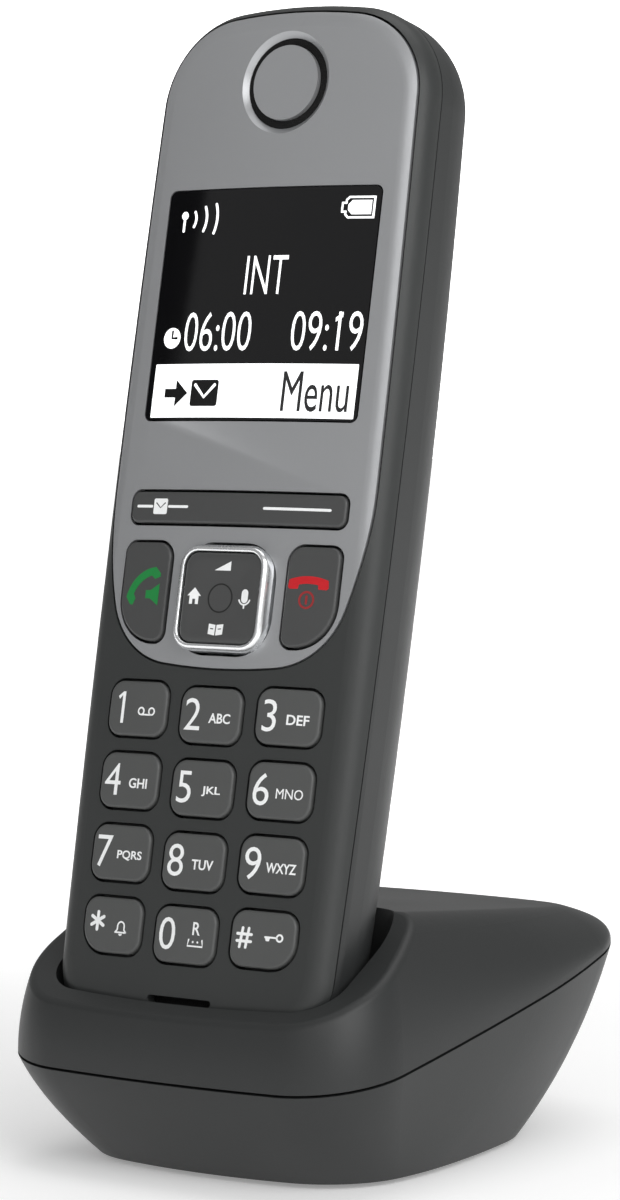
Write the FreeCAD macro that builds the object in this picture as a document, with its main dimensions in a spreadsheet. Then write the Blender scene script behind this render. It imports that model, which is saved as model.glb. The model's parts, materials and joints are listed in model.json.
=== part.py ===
"""A cordless telephone: a keypad handset that stands in its charging base.

The row frame has +Z up, its origin on the table under the middle of the base,
and the keypad looks towards -Y.  The handset is drawn in its own upright frame
(X across, Y along from foot to top, Z out of the keypad face) and is leaned
back into the base by HANDSET, the placement that all its pieces share.
"""
import FreeCAD, Part
import math
import os
import re

import Sketcher
from FreeCAD import Placement, Rotation, Vector

DOC = FreeCAD.newDocument("CordlessPhone")
SHEET = DOC.addObject("Spreadsheet::Sheet", "Sizes")

# Driving dimensions, in millimetres and degrees.
SIZES = {
    # How the handset stands in the base.
    "lean": 11.7,
    "dock_back": -41.8,
    "dock_rise": 15.75,
    "dock_gap": 1.0,
    "dock_gap_back": 3.0,
    # Outline and thickness of the handset.
    "body_half_width": 24.5,
    "body_foot": 2.0,
    "body_top": 157.0,
    "body_widest": 80.0,
    "body_foot_side": 3000.0,
    "body_top_side": 2600.0,
    "foot_arc": 200.0,
    "top_arc": 100.0,
    "foot_corner": 13.6,
    "top_corner": 14.6,
    "crown_radius": 230.0,
    "crown_height": 0.5,
    "back_depth": 20.9,
    "back_peak": 105.0,
    "back_arc": 3000.0,
    "front_round": 4.0,
    "back_round": 12.4,
    "shell_wall": 1.8,
    "seam_low": -2.7,
    "seam_slope": -0.0163,
    "seam_gap": 0.2,
    # Face plate.
    "plate_half_width": 22.6,
    "plate_foot": 58.4,
    "plate_top": 155.3,
    "plate_widest": 85.0,
    "plate_foot_side": 60.0,
    "plate_top_side": 2600.0,
    "plate_foot_arc": 90.0,
    "plate_top_arc": 95.0,
    "plate_foot_corner": 12.0,
    "plate_top_corner": 12.6,
    "plate_thick": 0.8,
    "plate_gap": 0.35,
    # Number keys.
    "key_pitch_across": 13.12,
    "key_pitch_along": 10.5,
    "key_row_foot": 20.0,
    "key_smile": 189.0,
    "key_wide": 10.5,
    "key_tall": 8.0,
    "key_corner": 2.2,
    "key_outer_corner": 3.9,
    "key_proud": 0.45,
    "key_gap": 0.4,
    "key_edge": 0.4,
    # Layers behind the face.
    "flange_top": -2.25,
    "flange_thick": 0.45,
    "flange_lip": 0.5,
    "plunger_radius": 1.5,
    "plunger_end": -3.2,
    "mat_top": -3.3,
    "board_top": -4.1,
    "board_thick": 1.0,
    "dome_radius": 2.3,
    "dome_rise": 0.3,
    # Call and end keys.
    "call_inner": 10.3,
    "call_outer": 18.7,
    "call_foot": 61.9,
    "call_top": 76.4,
    # Four-way key.
    "nav_middle": 68.4,
    "nav_rim_wide": 16.0,
    "nav_rim_tall": 15.7,
    "nav_rim_corner": 5.2,
    "nav_pad_size": 12.7,
    "nav_pad_corner": 3.8,
    "nav_rim_rise": 2.2,
    "nav_pad_rise": 1.5,
    "nav_slack": 0.22,
    # Display and the bar of soft keys under it.
    "window_half_width": 18.5,
    "window_foot": 94.6,
    "window_top": 128.9,
    "window_corner": 1.0,
    "window_gap": 0.2,
    "window_thick": 1.9,
    "bar_half_width": 18.7,
    "bar_foot": 79.3,
    "bar_top": 83.9,
    "bar_corner": 1.3,
    # Earpiece and microphone.
    "ear_middle": 144.7,
    "ear_disc_radius": 5.6,
    "ear_ring_radius": 6.8,
    "ear_dish_radius": 7.7,
    "mic_middle": 10.7,
    "mic_half_slot": 5.5,
    "mic_slot_tall": 1.0,
    # Battery bay.
    "door_half_width": 16.0,
    "door_foot": 34.0,
    "door_top": 91.0,
    "door_corner": 3.5,
    "door_wall": 1.0,
    "door_gap": 0.2,
    "cell_radius": 5.2,
    "cell_long": 44.5,
    "cell_middle": 63.0,
    "cell_spacing": 11.2,
    "cell_depth": -12.6,
    "bay_half_width": 11.6,
    "bay_half_long": 25.2,
    "bay_roof": -6.4,
    "bay_wall": 1.0,
    "hook_outer": 2.15,
    "hook_inner": 3.1,
    # Casing screws of the handset.
    "screw_across": 17.5,
    "screw_along": 135.5,
    # Charging contacts.
    "contact_spacing": 18.0,
    "contact_depth": -5.4,
    "contact_radius": 0.9,
    # Base: its foot, its parting line and the shells.
    "base_wall": 2.0,
    "foot_rise": 0.8,
    "sole_half_width": 26.6,
    "sole_front": -34.9,
    "sole_back": 28.2,
    "sole_widest": -12.0,
    "waist_half_width": 31.6,
    "waist_front": -42.1,
    "waist_back": 38.3,
    "waist_widest": -4.0,
    "waist_height": 12.6,
    "waist_tilt": 5.0,
    "parting_half_width": 33.5,
    "parting_front": -45.8,
    "parting_back": 45.8,
    "parting_widest": 4.0,
    "parting_height": 23.1,
    "parting_tilt": 9.54,
    "parting_gap": 0.4,
    "rim_front": -40.8,
    "rim_height": 26.2,
    "rim_slope": 28.5,
    "rim_round": 1.6,
    "shoulder_round": 6.0,
    # Board, sockets, posts and screws of the base.
    "board_rise": 4.0,
    "socket_foot": 5.6,
    "socket_front": 16.0,
    "line_middle": -10.0,
    "line_wide": 12.0,
    "line_tall": 10.8,
    "power_middle": 9.0,
    "power_wide": 10.0,
    "power_tall": 8.8,
    "post_split": 13.8,
    "post_side": 19.0,
    "post_side_back": 2.0,
    "post_rear": 20.0,
    # Paging key on the back wall.
    "page_back": 40.86,
    "page_height": 21.0,
    "page_turn": -117.0,
}

# Outlines made of ten tangent arcs: name of each size in the oval functions.
BODY_OUTLINE = {
    "half_width": "body_half_width", "low": "body_foot", "high": "body_top",
    "widest": "body_widest", "low_side": "body_foot_side", "high_side": "body_top_side",
    "low_arc": "foot_arc", "high_arc": "top_arc",
    "low_corner": "foot_corner", "high_corner": "top_corner",
}
PLATE_OUTLINE = {
    "half_width": "plate_half_width", "low": "plate_foot", "high": "plate_top",
    "widest": "plate_widest", "low_side": "plate_foot_side", "high_side": "plate_top_side",
    "low_arc": "plate_foot_arc", "high_arc": "plate_top_arc",
    "low_corner": "plate_foot_corner", "high_corner": "plate_top_corner",
}
SOLE_OUTLINE = {
    "half_width": "sole_half_width", "low": "sole_front", "high": "sole_back",
    "widest": "sole_widest", "low_side": "60", "high_side": "150",
    "low_arc": "80", "high_arc": "36", "low_corner": "14", "high_corner": "22",
}
WAIST_OUTLINE = {
    "half_width": "waist_half_width", "low": "waist_front", "high": "waist_back",
    "widest": "waist_widest", "low_side": "200", "high_side": "150",
    "low_arc": "150", "high_arc": "50", "low_corner": "14", "high_corner": "22",
}
PARTING_OUTLINE = {
    "half_width": "parting_half_width", "low": "parting_front", "high": "parting_back",
    "widest": "parting_widest", "low_side": "600", "high_side": "140",
    "low_arc": "300", "high_arc": "66", "low_corner": "14", "high_corner": "22",
}

# The leaves of the upper base form fan out from its back edge: how much each is
# turned down from the parting plane, lifted at the back, and drawn in.
LEAVES = (
    {"turn": 0.0, "lift": 0.0, "side": 0.0, "front": 0.0, "back": 0.0},
    {"turn": 5.0, "lift": 0.5, "side": 0.8, "front": 1.7, "back": 1.0},
    {"turn": 10.0, "lift": 1.1, "side": 3.0, "front": 5.5, "back": 3.4},
    {"turn": 15.0, "lift": 1.6, "side": 7.2, "front": 12.0, "back": 8.5},
)

KEY_ROWS = (("star", "0", "hash"), ("7", "8", "9"), ("4", "5", "6"), ("1", "2", "3"))


# ---------------------------------------------------------------- sizes

def fill_sheet():
    """Write every driving dimension and its alias into the sheet."""
    for row, (alias, size) in enumerate(SIZES.items(), start=1):
        SHEET.set(f"A{row}", alias.replace("_", " "))
        SHEET.set(f"B{row}", str(size))
        SHEET.setAlias(f"B{row}", alias)
    DOC.recompute()


def bound(text):
    """The expression text with each alias pointed at the sheet."""
    return re.sub(r"[a-z_]+", lambda word: "Sizes." + word[0] if word[0] in SIZES else word[0], str(text))


def value(text):
    """What an expression comes to now, in millimetres or degrees."""
    return float(SHEET.evalExpression(bound(text)))


def bind(thing, **sizes):
    """Bind properties of an object to expressions; a double underscore is a dot."""
    for name, text in sizes.items():
        thing.setExpression(name.replace("__", "."), bound(text))
    return thing


def handset_placement():
    """From the handset's upright frame to the row frame."""
    turn = Rotation(Vector(1, 0, 0), 90 - value("lean"))
    return Placement(Vector(0, value("dock_back"), value("dock_rise")), turn)


def page_placement():
    """Where the paging key stands, its axis square to the back wall."""
    turn = Rotation(Vector(1, 0, 0), value("page_turn"))
    return Placement(Vector(0, value("page_back"), value("page_height")), turn)


# ---------------------------------------------------------------- sketches

def new_body(name):
    """An empty body."""
    return DOC.addObject("PartDesign::Body", name)


def new_sketch(body, name, role="XY_Plane", height="0", tilt="0"):
    """A sketch on one of the body's origin planes, raised and tilted about X."""
    sketch = body.newObject("Sketcher::SketchObject", name)
    plane = next(one for one in body.Origin.OriginFeatures if one.Role == role)
    sketch.AttachmentSupport = [(plane, "")]
    sketch.MapMode = "FlatFace"
    sketch.AttachmentOffset = Placement(Vector(0, 0, value(height)), Rotation(Vector(1, 0, 0), value(tilt)))
    bind(sketch, AttachmentOffset__Base__z=height, AttachmentOffset__Rotation__Angle=tilt)
    return sketch


def add_size(sketch, kind, args, text):
    """A driving constraint whose size is bound to an expression."""
    index = sketch.addConstraint(Sketcher.Constraint(kind, *args, value(text)))
    sketch.renameConstraint(index, f"size_{index}")
    sketch.setExpression(f"Constraints.size_{index}", bound(text))


def fix(sketch, axis, geometry, point, text):
    """Hold one coordinate of a point; a negative one is measured the other way."""
    if value(text) < 0:
        add_size(sketch, f"Distance{axis}", (geometry, point, -1, 1), f"-({text})")
    else:
        add_size(sketch, f"Distance{axis}", (-1, 1, geometry, point), text)


def arc_between(centre, radius, start, end):
    """The arc that runs anticlockwise from start to end."""
    first = math.atan2(start.y - centre.y, start.x - centre.x)
    last = math.atan2(end.y - centre.y, end.x - centre.x)
    if last < first:
        last += 2 * math.pi
    return Part.ArcOfCircle(Part.Circle(centre, Vector(0, 0, 1), radius), first, last)


def join_loop(sketch, first, count):
    """Make each curve of a closed loop tangent to the next."""
    joints = []
    for step in range(count):
        after = (step + 1) % count
        joints.append(Sketcher.Constraint("Tangent", first + step, 2, first + after, 1))
    sketch.addConstraint(joints)


def draw_tile(sketch, middle, size, corners):
    """A rectangle with round corners: low left, low right, high right, high left."""
    east, west = (f"({middle[0]}) {sign} ({size[0]}) / 2" for sign in "+-")
    north, south = (f"({middle[1]}) {sign} ({size[1]}) / 2" for sign in "+-")
    right, left, top, foot = (value(side) for side in (east, west, north, south))
    low_left, low_right, high_right, high_left = (value(radius) for radius in corners)
    path = (
        (Vector(left + low_left, foot), Vector(right - low_right, foot)),
        (Vector(right - low_right, foot + low_right), low_right),
        (Vector(right, foot + low_right), Vector(right, top - high_right)),
        (Vector(right - high_right, top - high_right), high_right),
        (Vector(right - high_right, top), Vector(left + high_left, top)),
        (Vector(left + high_left, top - high_left), high_left),
        (Vector(left, top - high_left), Vector(left, foot + low_left)),
        (Vector(left + low_left, foot + low_left), low_left),
    )
    curves = []
    for index, item in enumerate(path):
        if index % 2 == 0:
            curves.append(Part.LineSegment(*item))
        else:
            curves.append(arc_between(item[0], item[1], path[index - 1][1], path[(index + 1) % 8][0]))
    first = sketch.GeometryCount
    sketch.addGeometry(curves, False)
    join_loop(sketch, first, 8)
    kinds = ("Horizontal", "Vertical", "Horizontal", "Vertical")
    sketch.addConstraint([Sketcher.Constraint(kind, first + 2 * n) for n, kind in enumerate(kinds)])
    for step, radius in zip((7, 1, 3, 5), corners):
        add_size(sketch, "Radius", (first + step,), radius)
    fix(sketch, "Y", first, 1, south)
    fix(sketch, "X", first + 2, 1, east)
    fix(sketch, "Y", first + 4, 1, north)
    fix(sketch, "X", first + 6, 1, west)


def draw_circle(sketch, middle, radius):
    """A full circle."""
    index = sketch.GeometryCount
    centre = Vector(value(middle[0]), value(middle[1]), 0)
    sketch.addGeometry(Part.Circle(centre, Vector(0, 0, 1), value(radius)), False)
    add_size(sketch, "Radius", (index,), radius)
    fix(sketch, "X", index, 3, middle[0])
    fix(sketch, "Y", index, 3, middle[1])


def draw_polygon(sketch, points):
    """A closed loop of straight lines through points given as expressions."""
    spots = [Vector(value(across), value(along), 0) for across, along in points]
    first = sketch.GeometryCount
    count = len(spots)
    sketch.addGeometry([Part.LineSegment(spots[n], spots[(n + 1) % count]) for n in range(count)], False)
    for step in range(count):
        after = first + (step + 1) % count
        sketch.addConstraint(Sketcher.Constraint("Coincident", first + step, 2, after, 1))
    for step, (across, along) in enumerate(points):
        fix(sketch, "X", first + step, 1, across)
        fix(sketch, "Y", first + step, 1, along)


def drawn_in(outline, inset):
    """The outline moved inwards all round, or outwards for a negative inset."""
    moved = {key: text if key == "widest" else f"({text}) - ({inset})" for key, text in outline.items()}
    moved["low"] = f"({outline['low']}) + ({inset})"
    return moved


def corner_centre(side, side_radius, end, end_radius, radius, towards):
    """Centre of the corner arc that touches a side arc and an end arc inside."""
    across = end - side
    length = across.Length
    near, far = side_radius - radius, end_radius - radius
    along = (length ** 2 + near ** 2 - far ** 2) / (2 * length)
    off = math.sqrt(near ** 2 - along ** 2)
    step = across * (1 / length)
    normal = Vector(-step.y, step.x, 0)
    spots = (side + step * along + normal * off, side + step * along - normal * off)
    return max(spots, key=lambda spot: towards.dot(spot))


def draw_oval(sketch, outline):
    """A closed outline of ten tangent arcs, symmetric about the Y axis.

    Each side is two arcs that meet at the widest point, each end is one arc,
    and a corner arc joins each side to each end.
    """
    size = {key: value(text) for key, text in outline.items()}
    radius = [size[key] for key in ("low_arc", "low_corner", "low_side", "high_side", "high_corner",
                                    "high_arc", "high_corner", "high_side", "low_side", "low_corner")]
    widest = size["widest"]
    low = Vector(0, size["low"] + radius[0], 0)
    high = Vector(0, size["high"] - radius[5], 0)
    sides = {n: Vector(sign * (size["half_width"] - radius[n]), widest, 0)
             for n, sign in ((2, 1), (3, 1), (7, -1), (8, -1))}
    centre = {0: low, 5: high, **sides}
    corners = ((1, 2, 0, (1, -1)), (4, 3, 5, (1, 1)), (6, 7, 5, (-1, 1)), (9, 8, 0, (-1, -1)))
    for n, side, end, towards in corners:
        centre[n] = corner_centre(centre[side], radius[side], centre[end], radius[end], radius[n],
                                  Vector(*towards, 0))
    joints = []
    for n in range(10):
        after = (n + 1) % 10
        large, small = (n, after) if radius[n] >= radius[after] else (after, n)
        if n in (2, 7):
            sign = 1 if n == 2 else -1
            joints.append(Vector(sign * size["half_width"], widest, 0))
        else:
            way = (centre[small] - centre[large]).normalize()
            joints.append(centre[large] + way * radius[large])
    arcs = [arc_between(centre[n], radius[n], joints[n - 1], joints[n]) for n in range(10)]
    sketch.addGeometry(arcs, False)
    join_loop(sketch, 0, 10)
    names = ("low_arc", "low_corner", "low_side", "high_side", "high_corner",
             "high_arc", "high_corner", "high_side", "low_side", "low_corner")
    for n, name in enumerate(names):
        add_size(sketch, "Radius", (n,), outline[name])
    for n, middle in ((0, f"({outline['low']}) + ({outline['low_arc']})"),
                      (5, f"({outline['high']}) - ({outline['high_arc']})")):
        sketch.addConstraint(Sketcher.Constraint("PointOnObject", n, 3, -2))
        fix(sketch, "Y", n, 3, middle)
    for n in (2, 3, 7, 8):
        fix(sketch, "Y", n, 3, outline["widest"])
    fix(sketch, "X", 2, 3, f"({outline['half_width']}) - ({outline['low_side']})")
    fix(sketch, "X", 8, 3, f"({outline['low_side']}) - ({outline['half_width']})")


# ---------------------------------------------------------------- features

def pad(body, sketch, length, down=False):
    """Grow a sketch along its normal, or against it."""
    feature = body.newObject("PartDesign::Pad", sketch.Name + "Pad")
    feature.Profile = sketch
    feature.Reversed = down
    bind(feature, Length=length)
    return feature


def pocket_through(body, sketch):
    """Cut a sketch right through the body, both ways."""
    DOC.recompute()
    before = body.Shape.Volume
    feature = body.newObject("PartDesign::Pocket", sketch.Name + "Pocket")
    feature.Profile = sketch
    feature.Type = "ThroughAll"
    feature.Midplane = True
    DOC.recompute()
    if not feature.Shape.Volume < before:
        raise ValueError(f"{feature.Name} cuts nothing")
    return feature


def round_edges(body, radius, chosen, name="Round"):
    """Round the edges of the tip for which chosen(middle of the edge) is true."""
    DOC.recompute()
    tip = body.Tip
    names = []
    for index, edge in enumerate(tip.Shape.Edges, start=1):
        middle = edge.valueAt((edge.FirstParameter + edge.LastParameter) / 2)
        if chosen(middle):
            names.append(f"Edge{index}")
    feature = body.newObject("PartDesign::Fillet", name)
    feature.Base = (tip, names)
    bind(feature, Radius=radius)
    DOC.recompute()
    return feature


def loft(body, sketches):
    """A smooth solid through a stack of sketches."""
    feature = body.newObject("PartDesign::AdditiveLoft", body.Name + "Loft")
    feature.Profile = sketches[0]
    feature.Sections = sketches[1:]
    feature.Ruled = False
    return feature


def box(name, across, along, up):
    """A block between three pairs of planes."""
    block = DOC.addObject("Part::Box", name)
    for axis, side, (low, high) in zip("xyz", ("Length", "Width", "Height"), (across, along, up)):
        bind(block, **{side: f"({high}) - ({low})", f"Placement__Base__{axis}": low})
    return block


def rod(name, middle, up, radius):
    """A cylinder along Z."""
    cylinder = DOC.addObject("Part::Cylinder", name)
    low, high = up
    bind(cylinder, Radius=radius, Height=f"({high}) - ({low})", Placement__Base__x=middle[0],
         Placement__Base__y=middle[1], Placement__Base__z=low)
    return cylinder


def rod_along(name, middle, along, radius):
    """A cylinder along Y; middle is its X and Z."""
    cylinder = DOC.addObject("Part::Cylinder", name)
    low, high = along
    cylinder.Placement = Placement(Vector(0, 0, 0), Rotation(Vector(1, 0, 0), -90))
    bind(cylinder, Radius=radius, Height=f"({high}) - ({low})", Placement__Base__x=middle[0],
         Placement__Base__y=low, Placement__Base__z=middle[1])
    return cylinder


def cut(name, base, *tools):
    """Base less every tool."""
    result = DOC.addObject("Part::Cut", name)
    result.Base = base
    result.Tool = tools[0] if len(tools) == 1 else fuse(name + "Tools", *tools)
    return result


def fuse(name, *shapes):
    """All the shapes as one."""
    result = DOC.addObject("Part::MultiFuse", name)
    result.Shapes = list(shapes)
    return result


def common(name, *shapes):
    """What all the shapes share."""
    result = DOC.addObject("Part::MultiCommon", name)
    result.Shapes = list(shapes)
    return result


def group(name, *shapes):
    """Separate solids kept as one piece."""
    result = DOC.addObject("Part::Compound", name)
    result.Links = list(shapes)
    return result


PIECES = []


def piece(label, thing, placement=None):
    """Name a finished sub-part and put it where it belongs."""
    thing.Label = label
    if placement is not None:
        thing.Placement = placement
    PIECES.append(thing)
    return thing


# ---------------------------------------------------------------- handset forms

def crown_cut(body, rise):
    """Trim a body to the cylinder of the keypad face, raised by rise."""
    sketch = new_sketch(body, body.Name + "Crown", "XZ_Plane")
    radius = value(f"crown_radius + ({rise})")
    centre = Vector(0, value("crown_height - crown_radius"), 0)
    half, top = 40.0, 30.0
    shoulder = centre.y + math.sqrt(radius ** 2 - half ** 2)
    left, right = Vector(-half, shoulder, 0), Vector(half, shoulder, 0)
    sketch.addGeometry([
        arc_between(centre, radius, right, left),
        Part.LineSegment(left, Vector(-half, top, 0)),
        Part.LineSegment(Vector(-half, top, 0), Vector(half, top, 0)),
        Part.LineSegment(Vector(half, top, 0), right),
    ], False)
    for one, next_one in ((0, 1), (1, 2), (2, 3)):
        sketch.addConstraint(Sketcher.Constraint("Coincident", one, 2, next_one, 1))
    sketch.addConstraint(Sketcher.Constraint("Coincident", 3, 2, 0, 1))
    sketch.addConstraint(Sketcher.Constraint("PointOnObject", 0, 3, -2))
    sketch.addConstraint([Sketcher.Constraint("Vertical", 1), Sketcher.Constraint("Horizontal", 2)])
    add_size(sketch, "Radius", (0,), f"crown_radius + ({rise})")
    fix(sketch, "Y", 0, 3, "crown_height - crown_radius")
    return pocket_through(body, sketch)


def back_cut(body, depth):
    """Trim a body to the long shallow arc of the handset's back."""
    sketch = new_sketch(body, body.Name + "Back", "YZ_Plane")
    radius, peak = value("back_arc"), value("back_peak")
    centre = Vector(peak, value(f"back_arc - ({depth})"), 0)
    low, high, floor = -20.0, 220.0, -60.0
    ends = [Vector(along, centre.y - math.sqrt(radius ** 2 - (along - peak) ** 2), 0)
            for along in (low, high)]
    sketch.addGeometry([
        arc_between(centre, radius, ends[0], ends[1]),
        Part.LineSegment(ends[1], Vector(high, floor, 0)),
        Part.LineSegment(Vector(high, floor, 0), Vector(low, floor, 0)),
        Part.LineSegment(Vector(low, floor, 0), ends[0]),
    ], False)
    for one, next_one in ((0, 1), (1, 2), (2, 3)):
        sketch.addConstraint(Sketcher.Constraint("Coincident", one, 2, next_one, 1))
    sketch.addConstraint(Sketcher.Constraint("Coincident", 3, 2, 0, 1))
    sketch.addConstraint([Sketcher.Constraint("Vertical", 1), Sketcher.Constraint("Horizontal", 2)])
    add_size(sketch, "Radius", (0,), "back_arc")
    fix(sketch, "X", 0, 3, "back_peak")
    fix(sketch, "Y", 0, 3, f"back_arc - ({depth})")
    return pocket_through(body, sketch)


def handset_form(name, inset="0", deeper="0"):
    """The whole handset as one solid, drawn in by inset and deeper at the back."""
    body = new_body(name)
    depth = f"back_depth - ({inset}) + ({deeper})"
    outline = new_sketch(body, name + "Outline", height=f"-({depth})")
    draw_oval(outline, drawn_in(BODY_OUTLINE, inset))
    pad(body, outline, f"({depth}) + crown_height + 2")
    crown_cut(body, f"-({inset})")
    back_cut(body, depth)
    round_edges(body, f"front_round - ({inset})", lambda spot: spot.z > -3, name + "FrontRound")
    near_back = 4 - value(depth)
    round_edges(body, f"back_round - ({inset})", lambda spot: spot.z < near_back, name + "BackRound")
    return body


def prism(name, draw, *args, low, high):
    """A straight block over one drawn outline."""
    body = new_body(name)
    sketch = new_sketch(body, name + "Outline", height=low)
    draw(sketch, *args)
    pad(body, sketch, f"({high}) - ({low})")
    return body


def seam_halves():
    """Blocks above and below the sloping seam of the handset."""
    halves = []
    for name, gap, far in (("FrontHalf", "0", "20"), ("BackHalf", "-seam_gap", "-40")):
        body = new_body(name)
        sketch = new_sketch(body, name + "Side", "YZ_Plane")
        low, high = "-20", "200"
        draw_polygon(sketch, (
            (low, f"seam_low + seam_slope * ({low}) + ({gap})"),
            (high, f"seam_low + seam_slope * ({high}) + ({gap})"),
            (high, far),
            (low, far),
        ))
        feature = pad(body, sketch, "80")
        feature.Midplane = True
        halves.append(body)
    return halves


# ---------------------------------------------------------------- handset openings

def key_middle(column, row):
    """Middle of a number key: the rows bend up towards the sides."""
    across = f"key_pitch_across * ({column})"
    bend = f"key_pitch_across ^ 2 / (2 * key_smile) * {column ** 2}"
    return across, f"key_row_foot + key_pitch_along * {row} + {bend}"


def key_corners(column, row, grow="0"):
    """Corner radii of a number key; the lowest outer corners are rounder."""
    radii = ["key_corner"] * 4
    if row == 0 and column:
        radii[0 if column < 0 else 1] = "key_outer_corner"
    return [f"{radius} + ({grow})" for radius in radii]


def number_keys():
    """Name, column and row of each number key."""
    for row, names in enumerate(KEY_ROWS):
        for column, name in zip((-1, 0, 1), names):
            yield name, column, row


def draw_call_key(sketch, side, grow="0"):
    """A call key: square towards the display and swept in along the plate's edge."""
    inner, outer = f"call_inner - ({grow})", f"call_outer + ({grow})"
    foot, top = f"call_foot - ({grow})", f"call_top + ({grow})"
    corners = {"high_inner": f"2.4 + ({grow})", "high_outer": f"1.6 + ({grow})",
               "low_inner": f"1.6 + ({grow})", "sweep": f"6.4 + ({grow})"}
    if side > 0:
        middle = f"(({inner}) + ({outer})) / 2"
        radii = [corners[key] for key in ("low_inner", "sweep", "high_outer", "high_inner")]
    else:
        middle = f"-(({inner}) + ({outer})) / 2"
        radii = [corners[key] for key in ("sweep", "low_inner", "high_inner", "high_outer")]
    size = (f"({outer}) - ({inner})", f"({top}) - ({foot})")
    draw_tile(sketch, (middle, f"(({foot}) + ({top})) / 2"), size, radii)


def bar_tile(grow="0"):
    """Middle, size and corners of the soft-key bar."""
    middle = ("0", "(bar_foot + bar_top) / 2")
    size = (f"2 * bar_half_width + 2 * ({grow})", f"bar_top - bar_foot + 2 * ({grow})")
    return middle, size, [f"bar_corner + ({grow})"] * 4


def window_tile(grow="0"):
    """Middle, size and corners of the display window."""
    middle = ("0", "(window_foot + window_top) / 2")
    size = (f"2 * window_half_width + 2 * ({grow})", f"window_top - window_foot + 2 * ({grow})")
    return middle, size, [f"window_corner + ({grow})"] * 4


def nav_tile(grow="0"):
    """Middle, size and corners of the four-way key's rim."""
    middle = ("0", "nav_middle")
    size = (f"nav_rim_wide + 2 * ({grow})", f"nav_rim_tall + 2 * ({grow})")
    return middle, size, [f"nav_rim_corner + ({grow})"] * 4


def pad_tile(grow="0"):
    """Middle, size and corners of the four-way key's pad."""
    size = f"nav_pad_size + 2 * ({grow})"
    return ("0", "nav_middle"), (size, size), [f"nav_pad_corner + ({grow})"] * 4


def face_openings(name, window_grow):
    """One tool that cuts every opening of the face plate's area."""
    body = new_body(name)
    sketch = new_sketch(body, name + "Holes", height="-3.5")
    draw_tile(sketch, *window_tile(window_grow))
    draw_tile(sketch, *bar_tile("key_gap"))
    draw_tile(sketch, *nav_tile("key_gap"))
    for side in (-1, 1):
        draw_call_key(sketch, side, "key_gap")
    draw_circle(sketch, ("0", "ear_middle"), "ear_ring_radius")
    pad(body, sketch, "10")
    return body


def keypad_openings():
    """One tool that cuts the twelve number-key holes and the microphone slot."""
    body = new_body("KeypadOpenings")
    sketch = new_sketch(body, "KeypadHoles", height="-3.5")
    for _, column, row in number_keys():
        size = ("key_wide + 2 * key_gap", "key_tall + 2 * key_gap")
        draw_tile(sketch, key_middle(column, row), size, key_corners(column, row, "key_gap"))
    slot_corner = ["mic_slot_tall / 2 - 0.02"] * 4
    draw_tile(sketch, ("0", "mic_middle"), ("2 * mic_half_slot", "mic_slot_tall"), slot_corner)
    pad(body, sketch, "10")
    return body


# ---------------------------------------------------------------- handset casings

def screw_spots():
    """Where the two casing screws of the handset stand."""
    return (("-screw_across", "screw_along"), ("screw_across", "screw_along"))


def build_front_shell(form, cavity, front_half):
    """Front casing: the keypad face, its holes and the recess for the plate."""
    ledge = handset_form("PlateLedge", "plate_thick + 0.1")
    recess_block = prism("RecessBlock", draw_oval, drawn_in(PLATE_OUTLINE, "-plate_gap"), low="-6", high="6")
    recess = cut("PlateRecess", recess_block, ledge)
    skin = cut("FrontSkin", common("FrontSolid", form, front_half), cavity, recess)
    bosses = [rod(f"FrontBoss{n}", spot, ("board_top - board_thick - 0.2", "-1.6"), "2.3")
              for n, spot in enumerate(screw_spots())]
    bores = [rod(f"FrontBore{n}", spot, ("-10", "-2.6"), "1.05") for n, spot in enumerate(screw_spots())]
    whole = fuse("FrontWhole", skin, *bosses)
    shell = cut("FrontShell", whole, face_openings("ShellOpenings", "window_gap"), keypad_openings(), *bores)
    piece("front_shell", shell, HANDSET)


def build_face_plate(form):
    """The metallic plate round the display and the upper keys."""
    under = handset_form("PlateUnder", "plate_thick")
    block = prism("PlateBlock", draw_oval, PLATE_OUTLINE, low="-6", high="6")
    solid = cut("PlateSolid", common("PlateSkin", form, block), under)
    dish = DOC.addObject("Part::Cone", "EarDish")
    bind(dish, Radius1="ear_ring_radius", Radius2="ear_dish_radius + 1", Height="plate_thick + 0.9",
         Placement__Base__y="ear_middle", Placement__Base__z="crown_height - plate_thick")
    piece("face_plate", cut("FacePlate", solid, face_openings("PlateOpenings", "window_gap"), dish), HANDSET)


def bay_block(name, grow, roof, floor):
    """A block round the battery bay."""
    return box(name, (f"-bay_half_width - ({grow})", f"bay_half_width + ({grow})"),
               (f"cell_middle - bay_half_long - ({grow})", f"cell_middle + bay_half_long + ({grow})"),
               (floor, roof))


def door_tile(grow="0"):
    """Middle, size and corners of the battery door."""
    middle = ("0", "(door_foot + door_top) / 2")
    size = (f"2 * door_half_width + 2 * ({grow})", f"door_top - door_foot + 2 * ({grow})")
    return middle, size, [f"door_corner + ({grow})"] * 4


def hook_block(name, middle, half, along, depths):
    """A block at a door hook; depths are measured in from the back."""
    outer, inner = depths
    return box(name, (f"{middle} - {half}", f"{middle} + {half}"), along,
               (f"-back_depth + {outer}", f"-back_depth + {inner}"))


def pad_block(name, side, half_wide, along, half_deep):
    """A block at a charging pad in the foot of the handset."""
    middle = f"{side} * contact_spacing / 2"
    return box(name, (f"{middle} - {half_wide}", f"{middle} + {half_wide}"), along,
               (f"contact_depth - {half_deep}", f"contact_depth + {half_deep}"))


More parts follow.
